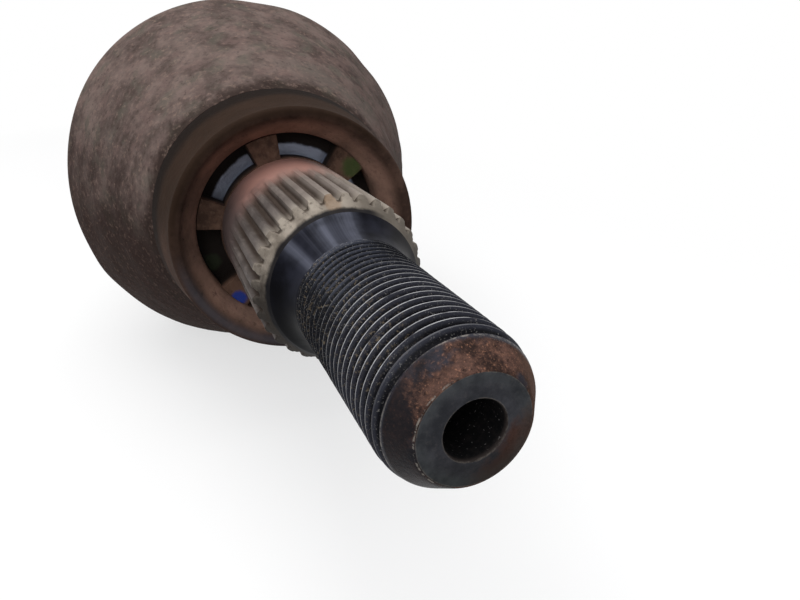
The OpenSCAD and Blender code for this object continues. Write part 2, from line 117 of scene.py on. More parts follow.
# Deflector ring
RING_LIP_R = 29.5
RING_LIP = 91.4
RING_SKIRT_END = 110.0
RING_GRIP_END = 107.5
RING_SHEET = 1.5

# Boots
BOOT_WALL = 2.5
BOOT_EDGE = 0.5
BOOT_ROUND = 0.4
CUFF_IN_R = 14.3
CUFF_OUT_R = 17.7
CUFF_LENGTH = 14.0
CUFF_STEP = 2.0
LAST_FOLD = 3.6
FOLD_DEPTH = 9.0
FOLD_STEPS = 20
OUTER_FOLD_START = 196.6
OUTER_CUFF = 298.6
OUTER_FOLDS = 6
INNER_CUFF = 401.6
INNER_FOLD_START = 415.6
INNER_FOLD_END = 497.6
INNER_FOLDS = 5
WIDE_FOLDS = 2
BUSHING_R = 51.8
INNER_LIP_END = 512.6

# Roller joint and gearbox stub
OPEN_END = 499.6
OPEN_EDGE = 0.8
SPIDER = 533.6
TRACK_END = 582.1
HOUSING_END = 590.1
HOUSING_R = 48.4
LOBES = 3
LOBE_HALF = 25.25
LOBE_SOFT = 1.3
VALLEY_R = 40.0
TRACK_TOP = 42.4
TRACK_HALF = 19.25
LOBE_BORE_R = 24.0
FLARE_R = 32.5
FLARE_LENGTH = 24.0
JOURNAL = 604.1
JOURNAL_R = 20.0
GEAR_SPLINE = 622.1
GEAR_SPLINE_R = 15.5
GEAR_TEETH = 28
STUB_END = 666.1
STUB_CHAMFER = 2.0
CIRCLIP = 661.1
CIRCLIP_HALF = 1.05
CIRCLIP_GROOVE_R = 13.1


# Mesh helpers

OCTAVES = 3
WAVES = 7
WAVE_SPREAD = (0.7, 1.4)
FULL_PHASE = 6.283
WOBBLE_SCALE = 5
SHARP_EDGE = 32.0

# Welding distances in metres
WELD = 2e-6
SLIVER = 1e-6


def spot(radius, along, clock):
    """Points in metres on one grid, from radius, distance from the tip and clock angle"""
    radius, along, angle = np.broadcast_arrays(radius, along, np.radians(clock))
    return np.stack([radius * np.sin(angle), along - ORIGIN, radius * np.cos(angle)], axis=-1) * MM


def turned(profile, clock):
    """Patch from a profile of (radius, along) points turned round the axle"""
    outline = np.array(profile, float)
    return spot(outline[:, 0:1], outline[:, 1:2], clock)


def from_middle(clock, count):
    """Angle to the nearest of evenly spaced middles, of which one is at 0"""
    step = TURN / count
    return (clock + step / 2) % step - step / 2


def wobble(points, size, seed):
    """Smooth noise between about -1 and 1, from waves of the given size"""
    rng = np.random.default_rng(seed)
    total = np.zeros(points.shape[:-1])
    for octave in range(OCTAVES):
        for _ in range(WAVES):
            way = rng.normal(size=3)
            way /= np.linalg.norm(way)
            length = size * MM / 2 ** octave * rng.uniform(*WAVE_SPREAD)
            total += np.sin(points @ way * 2 * np.pi / length + rng.uniform(0, FULL_PHASE)) / 2 ** octave
    return total / WOBBLE_SCALE


def build(name, patches, sharp=SHARP_EDGE):
    """One welded mesh from patches of (rows, columns, 3) points, each with a material index"""
    verts = []
    faces = []
    kinds = []
    start = 0
    for points, kind in patches:
        rows, width = points.shape[:2]
        verts.append(points.reshape(-1, 3))
        index = start + np.arange(rows * width).reshape(rows, width)
        corners = [index[:-1, :-1], index[:-1, 1:], index[1:, 1:], index[1:, :-1]]
        quads = np.stack(corners, axis=-1).reshape(-1, 4)
        faces.append(quads)
        kinds += [kind] * len(quads)
        start += rows * width
    mesh = bpy.data.meshes.new(name)
    mesh.from_pydata(np.concatenate(verts).tolist(), [], np.concatenate(faces).tolist())
    mesh.polygons.foreach_set("material_index", kinds)
    work = bmesh.new()
    work.from_mesh(mesh)
    bmesh.ops.remove_doubles(work, verts=work.verts, dist=WELD)
    bmesh.ops.dissolve_degenerate(work, dist=SLIVER, edges=work.edges)
    bmesh.ops.recalc_face_normals(work, faces=work.faces)
    for face in work.faces:
        face.smooth = True
    limit = math.radians(sharp)
    for line in work.edges:
        line.smooth = len(line.link_faces) == 2 and line.calc_face_angle(0) < limit
    work.to_mesh(mesh)
    work.free()
    piece = bpy.data.objects.new(name, mesh)
    bpy.context.scene.collection.objects.link(piece)
    return piece


# Columns across one tooth space as shares of its step, and how deep the groove is at each
TOOTH = np.array([-0.322, -0.21, -0.10, 0.10, 0.21, 0.322, 0.44, 0.56])
TOOTH_DIP = np.array([0.05, 0.5, 1.0, 1.0, 0.5, 0.05, 0.0, 0.0])


def spline_columns(teeth, outer_r):
    """Clock angles of a spline's columns and the radius at each"""
    step = TURN / teeth
    clock = (np.arange(teeth)[:, None] * step + TOOTH[None, :] * step).ravel()
    dip = np.tile(TOOTH_DIP, teeth)
    return np.append(clock, clock[0] + TURN), outer_r - SPLINE_DEPTH * np.append(dip, dip[0])


# Stub and bell in one piece, with a real thread

columns, tooth_r = spline_columns(TEETH, SPLINE_R)
on_land = np.abs(from_middle(columns - LAND_CLOCK, LAND_COUNT)) <= LAND_HALF

# One turn of the thread as shares of its pitch and of its depth
THREAD_PROFILE = [(-0.07, 0.10), (-0.035, 0.0), (0.035, 0.0), (0.07, 0.10), (0.36, 0.93), (0.44, 1.0),
                  (0.56, 1.0), (0.64, 0.93)]
SPARE_TURNS = 2
NICK_SIZE = 5.0
NICK_DEPTH = 0.05
NICK_START = 0.25
NICK_REACH = 0.5
WEAR_SIZE = 9.0
WEAR_DEPTH = 0.05
WEAR_EASE = 40.0
LEAD_KEEP = 2.0
LEAD_ROWS = 25
SPLINE_ROWS = 28


def chamfer_r(along):
    """Radius of the tip's chamfer, which eases into the thread's radius"""
    straight = FACE_R + (CHAMFER_R - FACE_R) * along / CHAMFER
    share = np.clip((along - CHAMFER) / CHAMFER_EASE, 0, 1)
    return np.where(along < CHAMFER, straight, THREAD_R - (THREAD_R - CHAMFER_R) * (1 - share) ** 2)


def thread_patch():
    """The thread's helix, faded at its ends and cut by the chamfer"""
    turns = range(int(THREAD_START / PITCH) - SPARE_TURNS, int(THREAD_END / PITCH) + SPARE_TURNS)
    along = np.array([(turn + part) * PITCH for turn in turns for part, _ in THREAD_PROFILE])[:, None]
    depth = np.array([dip for _ in turns for _, dip in THREAD_PROFILE])[:, None]
    place = along + PITCH * (columns - columns[0]) / TURN
    fade = np.clip((THREAD_END - place) / THREAD_FADE, 0, 1)
    fade = fade * np.clip((place - THREAD_START) / THREAD_FADE, 0, 1)
    radius = THREAD_R - THREAD_DEPTH * depth * fade
    nicks = wobble(spot(radius, place, columns), NICK_SIZE, seed=11)
    radius = radius - NICK_DEPTH * np.clip(nicks - NICK_START, 0, 1) * (depth < NICK_REACH)
    radius = np.minimum(radius, chamfer_r(place))
    before = place <= THREAD_START
    after = place >= THREAD_END
    place = np.clip(place, THREAD_START, THREAD_END)
    radius = np.where(before, chamfer_r(THREAD_START), np.where(after, THREAD_R, radius))
    rows = ~(np.all(before, axis=1) | np.all(after, axis=1))
    first = max(int(np.argmax(rows)) - 1, 0)
    last = min(len(rows) - int(np.argmax(rows[::-1])) + 1, len(rows))
    return spot(radius[first:last], place[first:last], columns)


def spline_patch(start, stop, rows):
    """Teeth between two places, cut by the tapered lead in front and running out behind"""
    stations = np.linspace(start, stop, rows)[:, None]
    slope = NECK_R + (SPLINE_R - NECK_R) * np.minimum((stations - NECK_END) / (LEAD_END - NECK_END), 1.0)
    run_out = np.minimum((stations - SPLINE_RUN) / SPLINE_FADE, 1.0)
    rising = SPLINE_R - (SPLINE_DEPTH + CORE_COVER) * (1 - run_out)
    radius = np.minimum(slope, np.maximum(tooth_r, rising))
    worn = WEAR_DEPTH * wobble(spot(radius, stations, columns), WEAR_SIZE, seed=5)
    inside = np.clip((stations - NECK_END) * (SHOULDER - stations) / WEAR_EASE, 0, 1)
    away = np.clip(np.abs(stations - LEAD_END) / LEAD_KEEP, 0, 1)
    return spot(radius + worn * inside * away, stations, columns)


LAND_ROWS = [0.0, 0.3, 0.6, 0.85, 1.0]
CROWN = 0.5
CROWN_START = 0.6
RIPPLE = 0.2
RIPPLE_LENGTH = 7.0


def land_patches():
    """Narrow ring round the spline's root, and the shoulder's face with lands and pockets"""
    deep = SHOULDER + POCKET_DEPTH
    inner_r = SPLINE_R + LAND_GAP
    ring = turned([(SPLINE_R, SHOULDER), (inner_r, SHOULDER)], columns)
    share = np.array(LAND_ROWS)[:, None]
    land = SHOULDER + CROWN * np.maximum(share - CROWN_START, 0) ** 2
    pocket = deep + RIPPLE * np.sin(columns / RIPPLE_LENGTH)
    face = spot(inner_r + (SHOULDER_R - inner_r) * share, np.where(on_land, land, pocket), columns)
    foot = turned([(SHOULDER_R, deep + POCKET_STEP)], columns)
    return ring, np.concatenate([ring[1:], face, foot])


# Lumps and hollows of the forging as clock angle, half width in degrees and height
LUMPS = [(-146, 22, 1.0), (-118, 7, 0.55), (-79, 24, -0.75), (7, 9, -0.7), (49, 5, -0.4), (70, 13, 0.6)]
SWELL_EASE = 40.0
SWELL_END = 8.0
DOME_ROWS = 44
DOME_CALM = 14
COARSE_LUMP = 0.22
COARSE_SIZE = 16.0
FINE_LUMP = 0.06
FINE_SIZE = 4.0


def swell(points):
    """Points of the bell moved out or in by the forging's uneven outline"""
    clock = np.degrees(np.arctan2(points[..., 0], points[..., 2]))
    along = points[..., 1] / MM + ORIGIN
    rise = 0 * clock
    for middle, width, height in LUMPS:
        rise = rise + height * np.exp(-(from_middle(clock - middle, 1) / width) ** 2)
    rise = rise * np.clip((along - DOME_START) / SWELL_EASE, 0, 1) * np.clip((SEAT - along) / SWELL_END, 0, 1)
    radius = np.maximum(np.hypot(points[..., 0], points[..., 2]), MM)
    grow = 1 + rise * MM / radius
    return points * np.stack([grow, np.ones_like(grow), grow], axis=-1)


def dome_patch():
    """The bell's bulging cone with the lumps of its forging"""
    share = np.linspace(0, 1, DOME_ROWS)[:, None]
    radius = DOME_R + (BELL_R - DOME_R) * share + DOME_BULGE * 4 * share * (1 - share)
    place = DOME_START + (RIM - DOME_START) * share
    points = spot(radius, place, columns)
    lumps = COARSE_LUMP * wobble(points, COARSE_SIZE, seed=3) + FINE_LUMP * wobble(points, FINE_SIZE, seed=8)
    calm = np.clip(share * (1 - share) * DOME_CALM, 0, 1)
    return swell(spot(radius + lumps * calm, place, columns))


# Radii tried at each place inside the bell, of which the largest hollow one is kept
CAVITY_REACH = np.linspace(0, 54, 541)
CAVITY_PLACES = np.concatenate([np.linspace(MOUTH, MOUTH - 4, 5), np.linspace(MOUTH - 6, JOINT - 34, 24),
                                JOINT - BORE_SPHERE_R + np.array([5.0, 3.0, 1.5, 0.5, 0.0])])


def cavity_patch():
    """The bell's inside: a sphere for the cage, six ball tracks and a flare that gives the bar room"""
    side = np.radians(from_middle(columns, BALLS))[:, None]
    across = CAVITY_REACH * np.sin(side)
    level = CAVITY_REACH * np.cos(side)
    rows = []
    for place in CAVITY_PLACES:
        off = place - JOINT
        sphere = off * off + CAVITY_REACH ** 2 <= BORE_SPHERE_R ** 2 + TINY
        path = np.hypot(off, level) - PATH_R
        ahead = np.degrees(np.arctan2(off, np.maximum(level, TINY))) > -TRACK_FRONT
        track = (path ** 2 + across ** 2 <= TRACK_R ** 2) & ahead
        flare = (CAVITY_REACH <= BEND_ROOM + off * math.tan(math.radians(BEND_LIMIT))) & (off > 0)
        rows.append(np.where(sphere | track | flare, CAVITY_REACH, 0).max(axis=1))
    radius = np.array(rows)
    radius[-1] = 0
    return spot(radius, CAVITY_PLACES[:, None], columns)


# Stretches of the piece, in the order of the materials that it is dressed in
FACE, TIP, THREAD, NECK, LEAD, SPLINE, LANDS, DOME, INSIDE = range(9)
bore_line = [(0, BORE_DEPTH + DRILL_POINT), (BORE_R, BORE_DEPTH), (BORE_R, BORE_DEPTH / 2), (BORE_R, 0.35),
             (BORE_R + BORE_EDGE / 3, 0.1), (BORE_R + BORE_EDGE, 0.0)]
face_line = [(radius, 0.0) for radius in (BORE_R + BORE_EDGE, 6.2, 7.4, FACE_R - FACE_EDGE)]
tip_line = [(FACE_R - FACE_EDGE, 0.0), (FACE_R - 0.08, 0.06)]
tip_line += [(chamfer_r(place), place) for place in (0.4, 1.2, 2.2, THREAD_START)]
neck_share = np.linspace(0, 1, 12)
neck_bow = NECK_HOLLOW * 4 * neck_share * (1 - neck_share)
neck_line = np.stack([THREAD_R + (NECK_R - THREAD_R) * neck_share - neck_bow,
                      THREAD_END + (NECK_END - THREAD_END) * neck_share], axis=-1)
land_ring, land_face = land_patches()
root_line = [(SHOULDER_R, SHOULDER + POCKET_DEPTH + POCKET_STEP), (SHOULDER_R, DOME_START),
             (DOME_ROOT_R, DOME_START), (DOME_R, DOME_START)]
bell_line = [(BELL_R, RIM), (BELL_R, RIM + 6), (BELL_R, SEAT - BELL_EDGE), (BELL_R - 0.3, SEAT - 0.3),
             (BELL_R - BELL_EDGE, SEAT), (SEAT_R, SEAT), (SEAT_R, MOUTH - BELL_EDGE),
             (SEAT_R - BELL_EDGE, MOUTH)]
cavity_points = cavity_patch()
mouth_edge = np.concatenate([turned(bell_line[-1:], columns), cavity_points[:1]])
housing = build("stub_and_bell", [
    (turned(bore_line, columns), INSIDE),
    (turned(face_line, columns), FACE),
    (turned(tip_line, columns), TIP),
    (thread_patch(), THREAD),
    (turned(neck_line, columns), NECK),
    (spline_patch(NECK_END, LEAD_END, LEAD_ROWS), LEAD),
    (spline_patch(LEAD_END, SHOULDER, SPLINE_ROWS), SPLINE),
    (land_ring, LANDS),
    (land_face, LANDS),
    (turned(root_line, columns), DOME),
    (dome_patch(), DOME),
    (swell(turned(bell_line, columns)), DOME),
    (mouth_edge, DOME),
    (cavity_points, INSIDE),
])
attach(housing, "wheel_joint")
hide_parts("outer_housing")


# Deflector ring with a rolled lip

RING_BUMP = 0.10
RING_BUMP_SIZE = 14.0
LIP_ARC = (222, 372)
ring_columns = np.linspace(0, TURN, 193)
grip_r = SHOULDER_R + FIT_GAP
ring_line = [(grip_r, RING_GRIP_END), (grip_r, SHOULDER + 1.2), (SHOULDER_R + 0.25, SHOULDER + 0.2),
             (SHOULDER_R + 0.9, SHOULDER - 0.8), (26.6, 94.9)]
ring_line += [(RING_LIP_R + RING_SHEET * math.cos(a), RING_LIP + RING_SHEET * (1 + math.sin(a)))
              for a in np.radians(np.linspace(*LIP_ARC, 12))]
ring_line += [(31.6, 97.0), (32.3, 101.0), (33.2, 106.0), (33.8, RING_SKIRT_END - 0.4),
              (33.6, RING_SKIRT_END), (32.6, RING_SKIRT_END), (32.3, RING_SKIRT_END - 0.4), (30.7, 102.0),
              (29.7, 96.6), (29.2, 94.6), (28.3, 94.5), (25.9, 98.4), (SHOULDER_R + 1.6, 99.8),
              (grip_r + RING_SHEET, RING_GRIP_END), (grip_r, RING_GRIP_END)]
ring_points = turned(ring_line, ring_columns)
ring_points[..., 1] += RING_BUMP * MM * wobble(ring_points, RING_BUMP_SIZE, seed=21)
ring = build("deflector", [(ring_points, 0)])
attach(ring, "wheel_joint")
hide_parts("deflector_ring")


# Roller housing with smooth lobes, and the gearbox stub

LOBE_STEP = 0.25
LOBE_ROWS = 18
GRIP_LENGTH = 14.0
ROUND_LENGTH = 7.0
ROUND_INSET = 5.0
ROUND_ANGLES = [15, 30, 45, 60, 75, 88]
VALLEY_SINK = 1.8
ROUGH_EASE = 4.0
HOUSING_LUMP = 0.16
HOUSING_LUMP_SIZE = 15.0
HOUSING_GRAIN = 0.05
HOUSING_SHARP = 40.0
lobe_columns = np.linspace(0, TURN, 289)


def lobe_outline():
    """Radius of the lobed outline round the clock, with softened corners"""
    fine = np.arange(0, TURN, LOBE_STEP)
    phase = np.radians(np.abs(from_middle(fine, LOBES)))
    wall = LOBE_HALF / np.maximum(np.sin(phase), TINY)
    radius = np.maximum(np.minimum(HOUSING_R, wall), VALLEY_R)
    reach = int(4 * LOBE_SOFT / LOBE_STEP)
    kernel = np.exp(-0.5 * (np.arange(-reach, reach + 1) * LOBE_STEP / LOBE_SOFT) ** 2)
    around = np.concatenate([radius[-reach:], radius, radius[:reach]])
    smooth = np.convolve(around, kernel / kernel.sum(), "valid")
    return np.interp(lobe_columns % TURN, np.append(fine, TURN), np.append(smooth, smooth[0]))


def lobe_patch():
    """Outside of the roller housing, rounded at its closed end"""
    stations = [(OPEN_END, OPEN_EDGE), (OPEN_END + OPEN_EDGE, 0.0)]
    round_start = HOUSING_END - ROUND_LENGTH
    stations += [(place, 0.0) for place in np.linspace(OPEN_END + GRIP_LENGTH, round_start, LOBE_ROWS)]
    stations += [(round_start + ROUND_LENGTH * math.sin(a), ROUND_INSET - ROUND_INSET * math.cos(a))
                 for a in np.radians(ROUND_ANGLES)]
    place, inset = np.array(stations).T[:, :, None]
    radius = np.maximum(lobe_outline() - inset, VALLEY_R - VALLEY_SINK)
    points = spot(radius, place, lobe_columns)
    rough = np.clip((place - OPEN_END - GRIP_LENGTH - 1) / ROUGH_EASE, 0, 1)
    rough = rough * np.clip((HOUSING_END - 1 - place) / ROUGH_EASE, 0, 1)
    lumps = HOUSING_LUMP * wobble(points, HOUSING_LUMP_SIZE, seed=31)
    lumps = lumps + HOUSING_GRAIN * wobble(points, FINE_SIZE, seed=32)
    return spot(radius + rough * lumps, place, lobe_columns)


def track_patch():
    """Inside of the roller housing: three flat-walled tracks and a flare at the open end"""
    phase = np.radians(np.abs(from_middle(lobe_columns, LOBES)))
    slot = np.minimum(TRACK_TOP / np.cos(phase), TRACK_HALF / np.maximum(np.sin(phase), TINY))
    stations = np.append(np.linspace(OPEN_END, OPEN_END + FLARE_LENGTH, 9), [SPIDER, TRACK_END])[:, None]
    flare = FLARE_R + (LOBE_BORE_R - FLARE_R) * np.clip((stations - OPEN_END) / FLARE_LENGTH, 0, 1)
    return spot(np.maximum(slot, np.maximum(flare, LOBE_BORE_R)), stations, lobe_columns)


lobe_points = lobe_patch()
track_points = track_patch()
cone_line = [(VALLEY_R - 2, HOUSING_END + 0.1), (VALLEY_R - 4.2, HOUSING_END + 1.5), (24.6, JOURNAL - 4.2),
             (22.0, JOURNAL - 2.2), (20.7, JOURNAL - 0.8), (JOURNAL_R, JOURNAL), (JOURNAL_R, JOURNAL + 8),
             (JOURNAL_R, GEAR_SPLINE - 1.5), (JOURNAL_R - 1.5, GEAR_SPLINE), (12.0, GEAR_SPLINE),
             (0, GEAR_SPLINE)]
cone_points = turned(cone_line, lobe_columns)
track_floor = turned([(1.0, TRACK_END), (0, TRACK_END)], lobe_columns)
roller_housing = build("roller_housing", [
    (np.stack([track_points[0], lobe_points[0]]), 0),
    (lobe_points, 0),
    (np.stack([lobe_points[-1], cone_points[0]]), 0),
    (cone_points, 0),
    (track_points, 0),
    (np.stack([track_points[-1], track_floor[0]]), 0),
    (track_floor, 0),
], HOUSING_SHARP)

gear_columns, gear_r = spline_columns(GEAR_TEETH, GEAR_SPLINE_R)
gear_start = GEAR_SPLINE - 0.6
gear_line = [(0.0, gear_start), (13.0, gear_start), (GEAR_SPLINE_R, gear_start),
             (GEAR_SPLINE_R, GEAR_SPLINE + 10), (GEAR_SPLINE_R, GEAR_SPLINE + 24),
             (GEAR_SPLINE_R, CIRCLIP - CIRCLIP_HALF), (CIRCLIP_GROOVE_R, CIRCLIP - CIRCLIP_HALF),
             (CIRCLIP_GROOVE_R, CIRCLIP + CIRCLIP_HALF), (GEAR_SPLINE_R, CIRCLIP + CIRCLIP_HALF),
             (GEAR_SPLINE_R, STUB_END - STUB_CHAMFER), (GEAR_SPLINE_R - 0.7, STUB_END - 1.3),
             (GEAR_SPLINE_R - 1.4, STUB_END - 0.6), (GEAR_SPLINE_R - STUB_CHAMFER, STUB_END),
             (6.0, STUB_END), (0.0, STUB_END)]
gear_limit, gear_place = np.array(gear_line).T[:, :, None]
gear_points = spot(np.minimum(gear_limit, gear_r), gear_place, gear_columns)
gear_stub = build("gearbox_stub", [(gear_points, 0)])
for part in (roller_housing, gear_stub):
    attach(part, "gearbox_joint")
    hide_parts("inner_housing")


# Boots

BOOT_SHARP = 50.0
boot_columns = np.linspace(0, TURN, 97)


def folds(start, stop, start_r, stop_r, count, power):
    """Outer line of a boot's folds from its large end to its small end"""
    line = []
    steps = count * FOLD_STEPS
    for i in range(steps + 1):
        share = i / steps
        peak = stop_r + (start_r - stop_r) * (1 - share) ** power
        depth = FOLD_DEPTH * (1 - 0.5 * (start_r - stop_r) / start_r * share)
        wave = (1 - math.cos(2 * math.pi * count * share)) / 2
        line.append((peak - depth * wave, start + (stop - start) * share))
    return line


def inner_side(line):
    """The line back along the inside of a boot's wall"""
    return [(radius - BOOT_WALL, along) for radius, along in reversed(line)]


outer_peak = SEAT_R + BOOT_WALL
outer_in = SEAT_R + FIT_GAP
outer_folds = folds(OUTER_FOLD_START, OUTER_CUFF, outer_peak, CUFF_OUT_R + LAST_FOLD, OUTER_FOLDS, 1.0)
outer_cuff_end = OUTER_CUFF + CUFF_LENGTH
outer_line = [(outer_in, SEAT + BOOT_EDGE), (outer_peak - BOOT_ROUND, SEAT + BOOT_EDGE),
              (outer_peak, SEAT + 2 * BOOT_EDGE)]
outer_line += outer_folds
outer_line += [(CUFF_OUT_R, OUTER_CUFF + CUFF_STEP), (CUFF_OUT_R, outer_cuff_end - BOOT_EDGE),
               (CUFF_OUT_R - BOOT_EDGE, outer_cuff_end), (CUFF_IN_R, outer_cuff_end),
               (CUFF_IN_R, OUTER_CUFF + CUFF_STEP)]
outer_line += inner_side(outer_folds)
outer_line += [(outer_in, OUTER_FOLD_START - 1.5), (outer_in, SEAT + BOOT_EDGE)]
outer_boot = build("outer_bellows", [(turned(outer_line, boot_columns), 0)], BOOT_SHARP)
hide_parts("outer_boot")
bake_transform(outer_boot)

# The inner boot is two pieces that meet at a fold, because a blend joins two bodies and it spans three
inner_peak = BUSHING_R + BOOT_WALL
inner_in = BUSHING_R + FIT_GAP
inner_folds = folds(INNER_FOLD_END, INNER_FOLD_START, inner_peak, CUFF_OUT_R + LAST_FOLD, INNER_FOLDS, 0.6)
split = FOLD_STEPS * WIDE_FOLDS
wide_folds = inner_folds[:split + 1]
narrow_folds = inner_folds[split:]
wide_line = [(inner_in, INNER_LIP_END), (inner_peak - BOOT_ROUND, INNER_LIP_END),
             (inner_peak, INNER_LIP_END - BOOT_EDGE)]
wide_line += wide_folds + inner_side(wide_folds)
wide_line += [(inner_in, INNER_FOLD_END + 1.5), (inner_in, INNER_LIP_END)]
narrow_cuff = [(CUFF_OUT_R, INNER_FOLD_START - CUFF_STEP), (CUFF_OUT_R, INNER_CUFF + BOOT_EDGE),
               (CUFF_OUT_R - BOOT_EDGE, INNER_CUFF), (CUFF_IN_R, INNER_CUFF),
               (CUFF_IN_R, INNER_FOLD_START - CUFF_STEP)]
narrow_line = narrow_folds + narrow_cuff + inner_side(narrow_folds) + narrow_folds[:1]
inner_boot_large = build("inner_bellows_wide", [(turned(wide_line, boot_columns), 0)], BOOT_SHARP)
inner_boot_small = build("inner_bellows_narrow", [(turned(narrow_line, boot_columns), 0)], BOOT_SHARP)
for part in (inner_boot_large, inner_boot_small):
    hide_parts("inner_boot")
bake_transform(inner_boot_small)
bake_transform(inner_boot_large)


# Materials

class Nodes:
    """Nodes added to the tree of a material or of the world"""

    def __init__(self, owner):
        owner.use_nodes = True
        self.tree = owner.node_tree
        self.new = self.tree.nodes.new

    def put(self, value, socket):
        if isinstance(value, bpy.types.NodeSocket):
            self.tree.links.new(value, socket)
        else:
            socket.default_value = value

    def make(self, kind, inputs, **settings):
        """Outputs of a new node that has these inputs and settings"""
        node = self.new(kind)
        for name, value in settings.items():
            setattr(node, name, value)
        for name, value in inputs.items():
            self.put(value, node.inputs[name])
        return node.outputs

    def parts(self, vector):
        return self.make("ShaderNodeSeparateXYZ", {0: vector})

    def math(self, operation, a, b=0.0, clamp=False):
        return self.make("ShaderNodeMath", {0: a, 1: b}, operation=operation, use_clamp=clamp)[0]

    def mix(self, amount, a, b):
        """Colour between two colours"""
        return self.make("ShaderNodeMix", {"Factor": amount, 6: a, 7: b}, data_type="RGBA")[2]

    def seen(self):
        """1 for what the camera, a mirror or glass sees, and 0 for the light that bounces"""
        path = self.new("ShaderNodeLightPath").outputs
        straight = self.math("MAXIMUM", path["Is Camera Ray"], path["Is Glossy Ray"])
        return self.math("MAXIMUM", straight, path["Is Transmission Ray"])

    def seen_white(self, other):
        """White where it is seen and the given colour for the light that bounces"""
        return self.mix(self.seen(), other, (1, 1, 1, 1))


class Recipe(Nodes):
    """A material in the piece's own coordinates: x, y and z in metres, other lengths in millimetres"""

    def __init__(self, name):
        self.material = bpy.data.materials.new(name)
        super().__init__(self.material)
        self.shader = self.tree.nodes["Principled BSDF"]
        self.place = self.new("ShaderNodeTexCoord").outputs["Object"]
        self.x, self.y, self.z = self.parts(self.place)
        self.right = self.over(self.x, MM)
        self.up = self.over(self.z, MM)
        self.along = self.add(self.over(self.y, MM), ORIGIN)
        self.radius = self.over(self.length(self.x, self.z), MM)

    def add(self, a, b):
        return self.math("ADD", a, b)

    def minus(self, a, b):
        return self.math("SUBTRACT", a, b)

    def times(self, first, *others):
        for other in others:
            first = self.math("MULTIPLY", first, other)
        return first

    def over(self, a, b):
        return self.math("DIVIDE", a, b)

    def length(self, a, b):
        return self.math("SQRT", self.add(self.times(a, a), self.times(b, b)))

    def stretched(self, scale):
        """Place with each axis scaled"""
        return self.make("ShaderNodeVectorMath", {0: self.place, 1: scale}, operation="MULTIPLY")[0]

    def fan(self, reach):
        """Place that changes with the clock angle and not along the axle"""
        far = self.over(self.radius, reach)
        inputs = {"X": self.over(self.x, far), "Z": self.over(self.z, far)}
        return self.make("ShaderNodeCombineXYZ", inputs)[0]

    def noise(self, size, detail, rough, seed, place=None):
        """Noise with features of about the given size"""
        inputs = {"Vector": place or self.place, "W": seed, "Scale": 1 / (size * MM), "Detail": detail,
                  "Roughness": rough}
        return self.make("ShaderNodeTexNoise", inputs, noise_dimensions="4D")[0]

    def spots(self, size, seed):
        """Distance to the nearest of many scattered points, in cells of the given size"""
        inputs = {"Vector": self.place, "W": seed, "Scale": 1 / (size * MM)}
        return self.make("ShaderNodeTexVoronoi", inputs, voronoi_dimensions="4D")["Distance"]

    def ramp(self, value, low, high, flip=False):
        """0 below low and 1 above high, or the other way round"""
        first, last = (1.0, 0.0) if flip else (0.0, 1.0)
        inputs = {"Value": value, "From Min": low, "From Max": high, "To Min": first, "To Max": last}
        return self.make("ShaderNodeMapRange", inputs, interpolation_type="SMOOTHSTEP")[0]

    def ragged(self, value, cloud, spread, low, high, flip=False):
        """A ramp whose edge is broken up by a cloud over the given spread"""
        return self.ramp(self.add(value, self.times(cloud, spread)), low, high, flip)

    def facing(self, clock, start, full):
        """Share that grows on the side at this clock angle around the axle"""
        turn = math.radians(clock)
        reach = self.add(self.times(self.x, math.sin(turn)), self.times(self.z, math.cos(turn)))
        return self.ramp(self.over(self.over(reach, MM), self.radius), start, full)

    def dab(self, radius, clock, size):
        """Soft round mark at a radius and clock angle"""
        angle = math.radians(clock)
        wide = self.minus(self.x, radius * MM * math.sin(angle))
        high = self.minus(self.z, radius * MM * math.cos(angle))
        apart = self.over(self.length(wide, high), MM)
        cloud = self.noise(2.0, 4, 0.6, seed=clock)
        return self.ragged(apart, cloud, size * 0.6, size * 0.8, size * 1.3, True)

    def cover(self, share, shade):
        """Lay a shade over the colour so far where the share is high"""
        self.color = self.mix(share, self.color, shade)

    def tint(self, share, strength, shade):
        """Lay a thinner coat of a shade, of the given strength"""
        self.cover(self.times(share, strength), shade)

    def blend(self, amount, a, b):
        """Number between two numbers"""
        return self.make("ShaderNodeMix", {"Factor": amount, 2: a, 3: b})[0]

    def bump(self, height, distance, strength):
        inputs = {"Height": height, "Distance": distance * MM, "Strength": strength}
        return self.make("ShaderNodeBump", inputs)[0]

    def done(self, rough, metal, normal, shine):
        """The material, with its colour and these values put on the shader"""
        inputs = {"Base Color": self.color, "Roughness": rough, "Metallic": metal, "Normal": normal,
                  "Specular IOR Level": shine}
        for name, value in inputs.items():
            self.put(value, self.shader.inputs[name])
        return self.material


def rgb(red, green, blue):
    """Linear colour from screen values of 0 to 255"""
    def linear(value):
        share = value / 255
        return share / 12.92 if share <= 0.04045 else ((share + 0.055) / 1.055) ** 2.4
    return (linear(red), linear(green), linear(blue), 1.0)


# Stretches along the axle over which a look sets in or ends, and clock angles of the painted sheen and of the
# painted highlight on the thread's crests
TIP_RUST_END = (CHAMFER + 0.5, CHAMFER + 1.4)
CREST_START = (CHAMFER + 1.4, CHAMFER + 4.4)
DIRT_START = (CHAMFER + 0.2, CHAMFER + 8.2)
THREAD_DARK = (THREAD_END - 19.0, THREAD_END - 3.0)
LEAD_BLACK = (NECK_END + 1.2, NECK_END + 2.1)
TEETH_PALE = (LEAD_END + 1.0, LEAD_END + 8.0)
SPLINE_RED = (SHOULDER - 16.5, SHOULDER - 1.5)
# The ring's dark stretch is painted shade in the crease beside the dome
RING_DARK = (RING_SKIRT_END - 6.0, RING_SKIRT_END - 1.0)
DOME_ROOT = (DOME_START + 5.0, DOME_START + 9.0)
SHEEN_CLOCK = -22.0
CREST_LIGHT_CLOCK = -35.0

